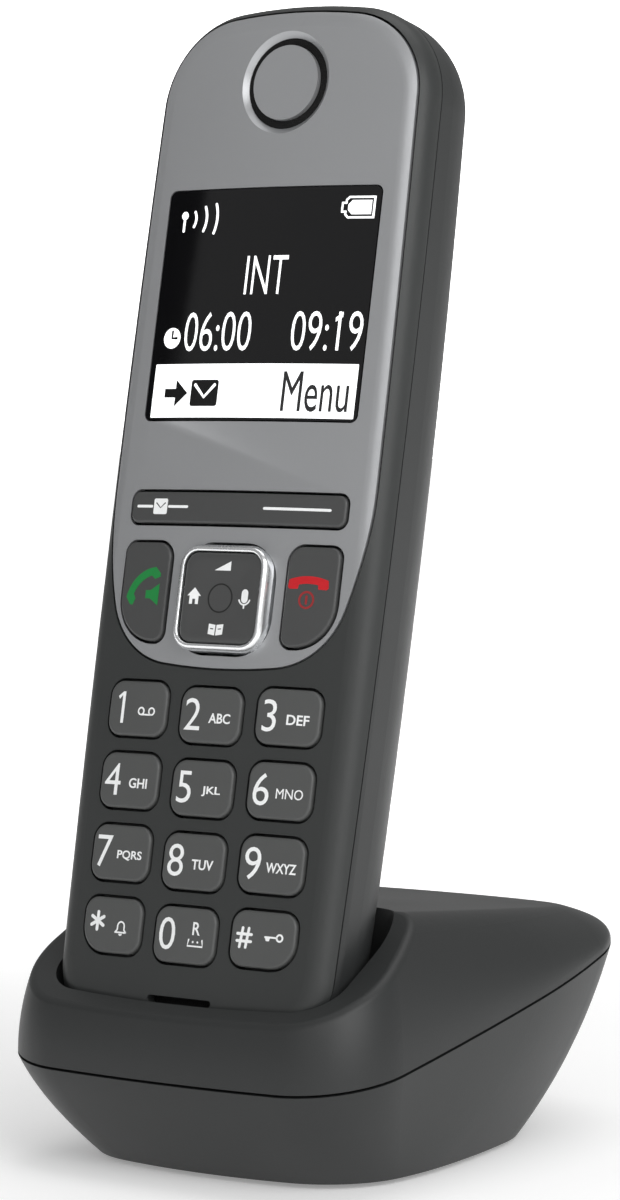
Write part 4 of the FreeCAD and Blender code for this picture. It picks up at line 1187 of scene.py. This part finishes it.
@dataclass
class NavKey:
    """The four-way key: a bright raised rim with a sloping skirt, and the square pad inside it."""

    rim_size: Point = (14.9, 14.9)
    rim_corner: float = 2.9
    rim_width: float = 0.72
    rim_top: float = 2.15
    skirt_size: Point = (16.0, 15.7)
    skirt_corner: float = 4.2
    skirt_foot: float = 0.5
    flange_reach: float = 0.9
    flange_low: float = -3.0
    flange_high: float = -2.55
    pad_gap: float = 0.14
    pad_top: float = 1.78
    pad_low: float = -2.35
    dish: float = 0.22
    dish_steps: int = 6
    dish_pitch: float = 0.98

    def build(self) -> None:
        """Build the rim and the pad, and print the signs."""
        self.middle = HANDSET.middle("nav_key_pad")
        self.add_rim()
        self.add_pad()

    def ring(self, size: Point, corner: float, inset: float) -> Loop:
        """A loop round the key, set in from a size.

        Args:
            size: The size it is set in from.
            corner: That size's corner radius.
            inset: How far it is set in on every side.

        Returns:
            The loop.
        """
        inner = (size[0] - 2 * inset, size[1] - 2 * inset)
        return tile(self.middle, inner, max(corner - inset, 0.4))

    def add_rim(self) -> None:
        """The rim: a flange under the plate, a skirt that slopes in, a round top and the inner wall."""
        skirt, edge = (self.skirt_size, self.skirt_corner), (self.rim_size, self.rim_corner)
        top, width = self.rim_top, self.rim_width
        rings = [
            (self.ring(*skirt, -self.flange_reach), self.flange_low),
            (self.ring(*skirt, -self.flange_reach), self.flange_high),
            (self.ring(*skirt, 0.0), self.flange_high),
            (self.ring(*skirt, 0.0), self.skirt_foot),
            (self.ring(*skirt, 0.1), self.skirt_foot + 0.25),
            (self.ring(*edge, -0.28), top - 0.75),
            (self.ring(*edge, -0.08), top - 0.4),
            (self.ring(*edge, 0.06), top - 0.14),
            (self.ring(*edge, 0.24), top),
            (self.ring(*edge, width - 0.2), top),
            (self.ring(*edge, width - 0.06), top - 0.06),
            (self.ring(*edge, width), top - 0.2),
            (self.ring(*edge, width), self.flange_low)]
        shape = bmesh.new()
        loft(shape, rings, closed=True)
        rim = finish_piece("bright_rim", shape, "nav_key_rim", CHROME, HANDSET.matrix,
                           smooth=True)
        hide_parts("nav_key_rim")

    def add_pad(self) -> None:
        """The pad: square, with soft edges and a shallow dish."""
        edge = (self.rim_size, self.rim_corner)
        gap, top = self.rim_width + self.pad_gap, self.pad_top
        rings = [(self.ring(*edge, gap), self.pad_low),
                 (self.ring(*edge, gap), top - 0.3),
                 (self.ring(*edge, gap + 0.09), top - 0.09),
                 (self.ring(*edge, gap + 0.3), top)]
        for step in range(1, self.dish_steps + 1):
            sunk = self.dish * math.sin(math.pi / 2 * step / self.dish_steps)
            rings.append((self.ring(*edge, gap + 0.3 + self.dish_pitch * step), top - sunk))
        shape = bmesh.new()
        loft(shape, rings, closed=False)
        pad = finish_piece("four_way_pad", shape, "nav_key_pad", DARK_KEY, HANDSET.matrix,
                           smooth=True)
        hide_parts("nav_key_pad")
        self.print_signs(Skin(pad))

    def print_signs(self, skin: Skin) -> None:
        """Four white signs on the pad, and a thin dark ring.

        Args:
            skin: The pad's surface.
        """
        across, along = self.middle[0] - 0.1, self.middle[1]
        signs = Print("nav_marks", "nav_key_pad", WHITE_INK, "print_white", strip=3.0)
        wedge = [(-1.45, -0.7), (1.35, -0.7), (1.35, 0.65)]
        house = [(-1.15, 0.1), (0.0, 1.3), (1.15, 0.1), (0.75, 0.1), (0.75, -1.1), (0.25, -1.1),
                 (0.25, -0.35), (-0.25, -0.35), (-0.25, -1.1), (-0.75, -1.1), (-0.75, 0.1)]
        signs.figure(moved(wedge, (across, along + 4.7)))
        signs.figure(moved(house, (across - 4.5, along + 0.1)))
        self.draw_microphone(signs, (across + 4.3, along))
        self.draw_book(signs, (across - 0.1, along - 4.6))
        signs.lay(skin)
        ring = Print("nav_ring", "nav_key_pad", RING_INK, "keycap_dark", strip=3.0)
        ring.figure(circle((across, along), 2.15, 40), circle((across, along), 1.93, 40))
        ring.lay(skin)

    def draw_microphone(self, signs: Print, spot: Point) -> None:
        """A microphone on its stand.

        Args:
            signs: The print that it is added to.
            spot: Its place.
        """
        signs.figure(moved(tile((0.0, 0.4), (1.15, 2.0), 0.57), spot))
        signs.figure(moved(stroke(arc((0.0, 0.15), 1.0, 200, 340, 10), 0.24), spot))
        signs.figure(moved(stroke([(0.0, -0.9), (0.0, -1.3)], 0.26), spot))

    def draw_book(self, signs: Print, spot: Point) -> None:
        """An open book.

        Args:
            signs: The print that it is added to.
            spot: Its place.
        """
        for side in (-1, 1):
            page = [(side * 0.1, -0.85), (side * 1.25, -0.65), (side * 1.25, 0.85), (side * 0.1, 0.7)]
            line = stroke([(side * 0.45, 0.1), (side * 0.9, 0.15)], 0.16)
            signs.figure(moved(page, spot), moved(line, spot))


@dataclass
class UpperKeys:
    """The call keys and the soft-key bar, with their marks, and the parts under all keys."""

    call_spot: Point = (-14.6, 69.6)
    end_spot: Point = (14.1, 71.4)
    bar_line: float = 0.4

    def build(self) -> None:
        """Dress the keys and print their marks."""
        PAINT.dress_nodes(DARK_KEY, ("call_key", "end_key", "softkey_bar"))
        PAINT.dress_nodes(SILICONE, ("nav_actuator", "key_mat"))
        PAINT.dress_nodes(STEEL, ("key_domes",))
        self.print_call()
        self.print_end()
        self.print_bar()

    def receiver(self, span: float, radius: float, thick: float, drop: float) -> Loop:
        """A telephone receiver seen from the side, bowed upwards, about the origin.

        Args:
            span: Half of its angle, in degrees.
            radius: Radius of its grip.
            thick: Thickness of its grip.
            drop: How far its two ends hang under the grip.

        Returns:
            The closed loop.
        """
        centre = (0.0, -radius)
        outer = arc(centre, radius + thick * 0.7, 90 + span, 90 - span, 14)
        inner = arc(centre, radius - thick * 0.3, 90 - span + 9, 90 + span - 9, 10)
        tip = outer[-1]
        right = [(tip[0] + 0.12, tip[1] - drop * 0.8), (tip[0] - 0.2, tip[1] - drop),
                 (inner[0][0] + 0.1, inner[0][1] - drop * 0.45)]
        left = [(-across, along) for across, along in right[::-1]]
        return outer + right + inner + left

    def print_call(self) -> None:
        """A green receiver over a small loudspeaker."""
        mark = Print("call_mark", "call_key", GREEN_INK, "call_green", strip=3.0)
        grip = turned(self.receiver(36, 4.9, 1.15, 1.7), 42)
        mark.figure(moved(grip, (self.call_spot[0] - 0.75, self.call_spot[1] + 1.1)))
        horn = [(-1.25, -0.6), (-0.4, -0.6), (1.15, -1.6), (1.15, 1.6), (-0.4, 0.6), (-1.25, 0.6)]
        mark.figure(moved(horn, (self.call_spot[0] + 1.75, self.call_spot[1] - 0.9)))
        mark.lay(Skin(frame["nodes"]["call_key"]))

    def print_end(self) -> None:
        """A red receiver laid down over a ring with a bar."""
        mark = Print("end_mark", "end_key", RED_INK, "call_red", strip=3.0)
        mark.figure(moved(self.receiver(20, 8.6, 1.1, 1.35), self.end_spot))
        mark.lay(Skin(frame["nodes"]["end_key"]))
        ring = Print("end_ring", "end_key", DULL_RED, "call_red", strip=3.0)
        centre = (self.end_spot[0] - 0.1, self.end_spot[1] - 2.65)
        ring.figure(circle(centre, 1.3), circle(centre, 0.98))
        ring.figure(stroke([(centre[0], centre[1] - 0.5), (centre[0], centre[1] + 0.5)], 0.36))
        ring.lay(Skin(frame["nodes"]["end_key"]))

    def print_bar(self) -> None:
        """Lines on the soft-key bar and an envelope between the left two."""
        middle = HANDSET.middle("softkey_bar")[1] + 0.1
        marks = Print("softkey_marks", "softkey_bar", WHITE_INK, "print_white")
        for left, right in ((-17.5, -14.9), (-11.7, -8.4), (5.2, 16.2)):
            marks.figure(stroke([(left, middle), (right, middle)], self.bar_line))
        flap = stroke([(-14.1, middle + 0.5), (-13.3, middle - 0.2), (-12.5, middle + 0.5)], 0.2)
        marks.figure(tile((-13.3, middle), (2.5, 2.3), 0.25), flap)
        marks.lay(Skin(frame["nodes"]["softkey_bar"]))


# ---------------------------------------------------------------- display

@dataclass
class Display:
    """The window, the glass behind it and what the display shows."""

    icon_line: float = 0.42
    word_weight: float = -0.008
    time_height: float = 5.8
    time_drop: float = 21.2
    bar_height: float = 8.3
    bar_inset: float = 0.35

    def build(self) -> None:
        """Dress the window and light the display."""
        PAINT.dress_nodes(WINDOW, ("display_window",))
        PAINT.dress_nodes(LCD, ("display_glass",))
        PAINT.dress_nodes(GUIDE, ("light_guide",))
        low, high = HANDSET.span("display_window")
        self.left, self.right, self.foot, self.top = low.x, high.x, low.y, high.y
        self.skin = Skin(frame["nodes"]["display_window"])
        self.show_upper()
        self.show_bar()

    def show_upper(self) -> None:
        """Signal, battery, the line of text and both times."""
        marks = Print("display_marks", "handset", LIT, "window")
        self.draw_signal(marks, (self.left + 3.1, self.top - 4.5))
        self.draw_battery(marks, (self.right - 4.0, self.top - 3.1))
        marks.write(Word("INT", (0.6, self.top - 12.9), 5.7, 7.2, weight=self.word_weight))
        self.draw_clock(marks, (self.left + 3.35, self.top - 22.1))
        times = self.top - self.time_drop
        for text, across, width in (("06:00", self.left + 11.6, 12.0), ("09:19", self.right - 6.5, 11.8)):
            marks.write(Word(text, (across, times), self.time_height, width, weight=self.word_weight))
        flag = [(0.25, 0.0), (0.25, -0.75), (-0.9, -1.45), (-0.9, -0.85)]
        marks.figure(moved(flag, (self.right - 4.27, times + 2.8)))
        marks.lay(self.skin)

    def draw_signal(self, marks: Print, spot: Point) -> None:
        """An aerial with three waves.

        Args:
            marks: The print that it is added to.
            spot: Its place.
        """
        marks.figure(moved(circle((0.0, 0.8), 0.62, 20), spot))
        marks.figure(moved(stroke([(0.0, 0.5), (0.0, -1.5)], self.icon_line), spot))
        for wave in range(3):
            half = 31 - 5 * wave
            bow = arc((0.0, 0.2), 2.15 + 1.95 * wave, -half, half, 12)
            marks.figure(moved(stroke(bow, self.icon_line), spot))

    def draw_battery(self, marks: Print, spot: Point) -> None:
        """A full battery that lies with its tip to the left.

        Args:
            marks: The print that it is added to.
            spot: Its place.
        """
        upper = [(3.2, 1.65), (-1.2, 1.65), (-1.75, 1.15), (-1.75, 0.8), (-2.35, 0.8)]
        inside = [(2.85, 1.35), (-1.05, 1.35), (-1.45, 1.0), (-1.45, 0.5), (-2.05, 0.5)]
        charge = [(2.6, 1.05), (-0.6, 1.05), (-1.25, 0.4)]
        full, hollow, filling = (half + [(across, -along) for across, along in half[::-1]]
                                 for half in (upper, inside, charge))
        marks.figure(moved(full, spot), moved(hollow, spot))
        marks.figure(moved(filling, spot))

    def draw_clock(self, marks: Print, spot: Point) -> None:
        """A round clock face with its hands cut out.

        Args:
            marks: The print that it is added to.
            spot: Its place.
        """
        hands = stroke([(0.0, 1.0), (0.0, 0.0), (0.85, 0.0)], 0.4)
        marks.figure(circle(spot, 1.55), moved(hands, spot))

    def show_bar(self) -> None:
        """The light bar along the foot of the display, with its dark marks."""
        foot, top = self.foot + self.bar_inset, self.foot + self.bar_height
        middle = (foot + top) / 2
        bar = Print("display_bar", "handset", LIT, "window")
        bar.figure(tile((0.2, middle), (self.right - self.left - 1.5, top - foot), 0.15))
        bar.lay(self.skin)
        dark = Print("display_bar_marks", "handset", UNLIT, "window", lift=0.05)
        left = self.left + 3.2
        marks_middle = middle - 0.35
        arrow = [(0.0, 0.65), (2.0, 0.65), (2.0, 1.95), (4.2, 0.0), (2.0, -1.95), (2.0, -0.65), (0.0, -0.65)]
        dark.figure(moved(arrow, (left, marks_middle)))
        flap = stroke([(-1.75, 1.2), (0.0, -0.6), (1.75, 1.2)], 0.5)
        envelope = (left + 7.3, marks_middle)
        dark.figure(moved(tile((0.0, 0.0), (4.9, 3.9), 0.4), envelope), moved(flap, envelope))
        dark.lay(self.skin)
        name = Print("display_bar_word", "handset", UNLIT_GREY, "window", lift=0.05)
        name.write(Word("Menu", (self.right - 7.25, middle - 0.1), 5.9, 11.1, weight=0.0))
        name.lay(self.skin)


# ---------------------------------------------------------------- casings

@dataclass
class HandsetCasing:
    """The handset's shells, plate, door, battery and sound parts."""

    grip_ribs: int = 5
    grip_foot: float = 78.0
    grip_pitch: float = 1.9
    grip_size: Size = (13.0, 0.9, 0.7)
    grip_corner: float = 0.22
    cloth_middle: Point = (0.0, 118.6)
    cloth_radius: float = 9.2
    cloth_thick: float = 0.3
    cloth_depth: float = -18.7
    microphone_cloth: Size = (13.0, 3.2, 0.3)
    microphone_depth: float = -1.7

    def build(self) -> None:
        """Dress the casings and add the small trim."""
        PAINT.dress_nodes(SHELL, ("front_shell",))
        PAINT.dress_nodes(BACK, ("back_shell", "battery_door"))
        PAINT.dress_nodes(PLATE, ("face_plate", "earpiece_disc"))
        PAINT.dress_nodes(MESH, ("earpiece_mesh",))
        PAINT.dress_nodes(BOARD, ("main_board",))
        PAINT.dress_nodes(SPEAKER, ("ear_speaker", "microphone", "ringer_speaker"))
        PAINT.dress_nodes(STEEL, ("battery_contacts", "handset_screws"))
        PAINT.dress_nodes(GOLD, ("charge_pads", "handset_antenna"))
        self.dress_cells()
        self.add_grip()
        self.add_cloth()
        self.add_microphone_cloth()

    def dress_cells(self) -> None:
        """Give the cells their sleeves, measured along the handset."""
        low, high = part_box("battery_cells")
        along = HANDSET.matrix.to_3x3().col[1].normalized()
        middle = (low + high).dot(along) / 2
        PAINT.dress_nodes(CellSleeve("cell_sleeve", tuple(along), middle), ("battery_cells",))

    def add_grip(self) -> None:
        """Ribs across the top of the battery door, for the thumb."""
        skin = Skin(frame["nodes"]["battery_door"], Side.BACK)
        shape = bmesh.new()
        for rib in range(self.grip_ribs):
            along = self.grip_foot + rib * self.grip_pitch
            corners = round_block(shape, Vector((0.0, along, 0.0)), Vector(self.grip_size), self.grip_corner)
            for corner in corners:
                corner.co.z += skin.height(corner.co.x, corner.co.y)
        finish_piece("door_grip", shape, "battery_door", BACK, HANDSET.matrix)

    def add_cloth(self) -> None:
        """Cloth behind the slots of the ringer."""
        shape = bmesh.new()
        place = Matrix.Translation((*self.cloth_middle, self.cloth_depth))
        bmesh.ops.create_cone(shape, cap_ends=True, segments=48, radius1=self.cloth_radius,
                              radius2=self.cloth_radius, depth=self.cloth_thick, matrix=place)
        finish_piece("ringer_cloth", shape, "handset", MESH, HANDSET.matrix)

    def add_microphone_cloth(self) -> None:
        """Cloth behind the slot of the microphone, on the shell's inner wall."""
        shape = bmesh.new()
        middle = Vector((*HANDSET.middle("microphone"), self.microphone_depth))
        round_block(shape, middle, Vector(self.microphone_cloth), 0.1)
        finish_piece("microphone_cloth", shape, "handset", MESH, HANDSET.matrix)


@dataclass
class ChargingBase:
    """The base's casings and what is in and under it, in millimetres."""

    wire_count: int = 4
    wire_size: Size = (0.45, 11.0, 0.45)
    wire_slope: float = -18.0
    wire_depth: float = 9.0
    wire_rise: float = 1.2
    wall: float = 1.6
    pin_size: Size = (0.7, 9.0, 1.7)
    pin_spread: float = 1.6
    pin_depth: float = 7.4
    label_size: Size = (26.0, 15.0, 0.12)
    label_back: float = -7.0

    def build(self) -> None:
        """Dress the base and add its contacts and label."""
        PAINT.dress_nodes(CASING, ("base_top_shell", "base_bottom_shell"))
        PAINT.dress_nodes(SOCKET, ("line_socket", "power_socket", "contact_carrier"))
        PAINT.dress_nodes(BOARD, ("base_board",))
        PAINT.dress_nodes(GOLD, ("base_antenna", "charge_contact_left", "charge_contact_right"))
        PAINT.dress_nodes(STEEL, ("contact_springs", "base_screws"))
        PAINT.dress_nodes(RUBBER, ("base_feet",))
        PAINT.dress_nodes(KEYCAP, ("page_key",))
        self.add_wires()
        self.add_pins()
        self.add_label()

    def add_wires(self) -> None:
        """Sloping spring wires in the line socket."""
        low, high = (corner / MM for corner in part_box("line_socket"))
        shape = bmesh.new()
        pitch = (high.x - low.x - 2 * self.wall) / (self.wire_count + 1)
        slope = Matrix.Rotation(math.radians(self.wire_slope), 3, "X")
        for wire in range(self.wire_count):
            across = low.x + self.wall + pitch * (wire + 1)
            middle = (across, low.y + self.wire_depth, (low.z + high.z) / 2 + self.wire_rise)
            corners = round_block(shape, Vector(), Vector(self.wire_size), 0.15)
            bmesh.ops.rotate(shape, cent=Vector(), matrix=slope, verts=corners)
            bmesh.ops.translate(shape, vec=middle, verts=corners)
        finish_piece("line_wires", shape, "base", GOLD, Matrix.Scale(MM, 4))

    def add_pins(self) -> None:
        """Two flat pins in the power socket."""
        low, high = (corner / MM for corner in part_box("power_socket"))
        shape = bmesh.new()
        for side in (-1.0, 1.0):
            across = (low.x + high.x) / 2 + side * self.pin_spread
            middle = Vector((across, low.y + self.pin_depth, (low.z + high.z) / 2))
            round_block(shape, middle, Vector(self.pin_size), 0.2)
        finish_piece("power_pins", shape, "base", GOLD, Matrix.Scale(MM, 4))

    def add_label(self) -> None:
        """A blank label under the base."""
        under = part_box("base_bottom_shell")[0].z / MM
        shape = bmesh.new()
        round_block(shape, Vector((0.0, self.label_back, under)), Vector(self.label_size), 0.05)
        finish_piece("blank_label", shape, "base", LABEL, Matrix.Scale(MM, 4))


# ---------------------------------------------------------------- studio

@dataclass(frozen=True)
class SoftLight:
    """A square soft light: where it stands, its width and its power in watts."""

    name: str
    place: Place
    size: float
    power: float


@dataclass
class Studio:
    """Floor, soft light and the camera, in metres and degrees."""

    azimuth: float = 33.7
    elevation: float = 3.35
    distance: float = 0.528
    aim: Place = (0.0236, -0.0418, 0.08415)
    lens: float = 115.49
    sensor: float = 36.0
    floor_size: float = 8.0
    dome_glow: float = 2.0
    flag_distance: float = 0.55
    flag_insets: Point = (4.8, 6.2)
    flag_ends: float = 5.0
    flag_overshoot: float = 1.2
    flag_width: float = 0.9
    ambient: float = 0.36
    lights: tuple[SoftLight, ...] = (
        SoftLight("key_light", (1.25, -0.65, 0.85), 1.1, 15.0),
        SoftLight("top_light", (0.1, 0.3, 1.6), 1.2, 7.0),
        SoftLight("front_light", (0.5, -1.6, 1.0), 0.8, 3.0))

    def build(self) -> None:
        """Set up the whole studio."""
        self.add_floor()
        self.add_surround()
        self.add_camera()
        self.add_flag()
        for light in self.lights:
            self.add_light(light)
        self.set_world()

    def add_surround(self) -> None:
        """A white dome round the set; only the camera sees it, so it lights nothing."""
        shape = bmesh.new()
        bmesh.ops.create_icosphere(shape, subdivisions=4, radius=self.floor_size)
        bmesh.ops.reverse_faces(shape, faces=shape.faces[:])
        white = Ink("surround_white", (0.95, 0.95, 0.95), glow=self.dome_glow)
        dome = self.stage_mesh("surround_dome", shape, white)
        dome.visible_diffuse = False
        dome.visible_glossy = False
        dome.visible_transmission = False
        dome.visible_shadow = False

    def add_camera(self) -> None:
        """The camera, aimed at the middle of the view."""
        turn, rise = math.radians(self.azimuth), math.radians(self.elevation)
        away = Vector((math.sin(turn) * math.cos(rise), -math.cos(turn) * math.cos(rise), math.sin(rise)))
        lens = bpy.data.cameras.new("camera")
        lens.lens = self.lens
        lens.sensor_width = self.sensor
        lens.clip_start = 0.01
        self.camera = bpy.data.objects.new("camera", lens)
        self.camera.location = Vector(self.aim) + away * self.distance
        self.camera.rotation_euler = (-away).to_track_quat("-Z", "Y").to_euler()
        bpy.context.scene.collection.objects.link(self.camera)
        bpy.context.scene.camera = self.camera

    def add_floor(self) -> None:
        """A pale floor with a painted glow that is weaker near the object, as painted shade, and stronger
        away from it.
        """
        shape = bmesh.new()
        bmesh.ops.create_grid(shape, x_segments=1, y_segments=1, size=self.floor_size / 2)
        self.stage_mesh("floor", shape, GlowingFloorPaper("floor_paper_painted_glow"))

    def stage_mesh(self, name: str, shape: bmesh.types.BMesh, finish: Finish) -> bpy.types.Object:
        """Make a stage object of a shape.

        Args:
            name: Its name.
            shape: The shape; it is freed.
            finish: Its finish.

        Returns:
            The object.
        """
        mesh = bpy.data.meshes.new(name)
        shape.to_mesh(mesh)
        shape.free()
        made = bpy.data.objects.new(name, mesh)
        bpy.context.scene.collection.objects.link(made)
        PAINT.dress(made, finish)
        return made

    def mirrored(self, across: float, along: float) -> Vector:
        """The way the camera's line leaves the window at one spot.

        Args:
            across: The spot's place across the handset, in millimetres.
            along: Its place along.

        Returns:
            A point at the flag's distance.
        """
        skin = Skin(frame["nodes"]["display_window"])
        reach = HANDSET.span("display_window")[1].x - 1.0
        crown = (skin.height(0.0, along) - skin.height(reach, along)) / reach ** 2
        spot = HANDSET.matrix @ Vector((across, along, skin.height(across, along)))
        normal = (HANDSET.matrix.to_3x3() @ Vector((2.0 * crown * across, 0.0, 1.0))).normalized()
        ray = (spot - self.camera.location).normalized()
        return spot + (ray - 2 * ray.dot(normal) * normal) * self.flag_distance

    def add_flag(self) -> None:
        """A black flag that the left edge of the window mirrors; the camera doesn't see it."""
        low, high = HANDSET.span("display_window")
        shape = bmesh.new()
        spans = zip(self.flag_insets, (low.y + self.flag_ends, high.y - self.flag_ends))
        corners = [self.mirrored(low.x + inset, along) for inset, along in spans]
        tall = (corners[1] - corners[0]) * self.flag_overshoot
        corners = [corners[0] - tall, corners[1] + tall]
        outward = (self.mirrored(low.x + 1.0, high.y) - self.mirrored(low.x + 7.0, high.y)).normalized()
        reach = outward * self.flag_width
        spots = [shape.verts.new(corner) for corner in (*corners, corners[1] + reach, corners[0] + reach)]
        shape.faces.new(spots)
        flag = self.stage_mesh("flag", shape, Ink("flag_black", (0.002, 0.002, 0.002), roughness=0.9))
        flag.visible_camera = False

    def add_light(self, light: SoftLight) -> None:
        """Set up a soft light that looks at the object.

        Args:
            light: The light.
        """
        lamp = bpy.data.lights.new(light.name, "AREA")
        lamp.size = light.size
        lamp.energy = light.power
        stand = bpy.data.objects.new(light.name, lamp)
        stand.location = light.place
        stand.rotation_euler = (Vector(self.aim) - Vector(light.place)).to_track_quat("-Z", "Y").to_euler()
        bpy.context.scene.collection.objects.link(stand)

    def set_world(self) -> None:
        """A plain pale surround."""
        world = bpy.data.worlds.new("surround")
        world.use_nodes = True
        shade = world.node_tree.nodes["Background"]
        shade.inputs["Color"].default_value = (1.0, 1.0, 1.0, 1.0)
        shade.inputs["Strength"].default_value = self.ambient
        bpy.context.scene.world = world
        bpy.context.scene.view_settings.view_transform = "Standard"


def main() -> None:
    """Build every part of the look in order."""
    logging.basicConfig(level=logging.INFO, format="%(name)s: %(message)s")
    for part in (HandsetCasing(), Keypad(), UpperKeys(), NavKey(), Display(), ChargingBase(), Studio()):
        LOG.info("building %s", type(part).__name__)
        part.build()


if __name__ == "__main__":
    main()
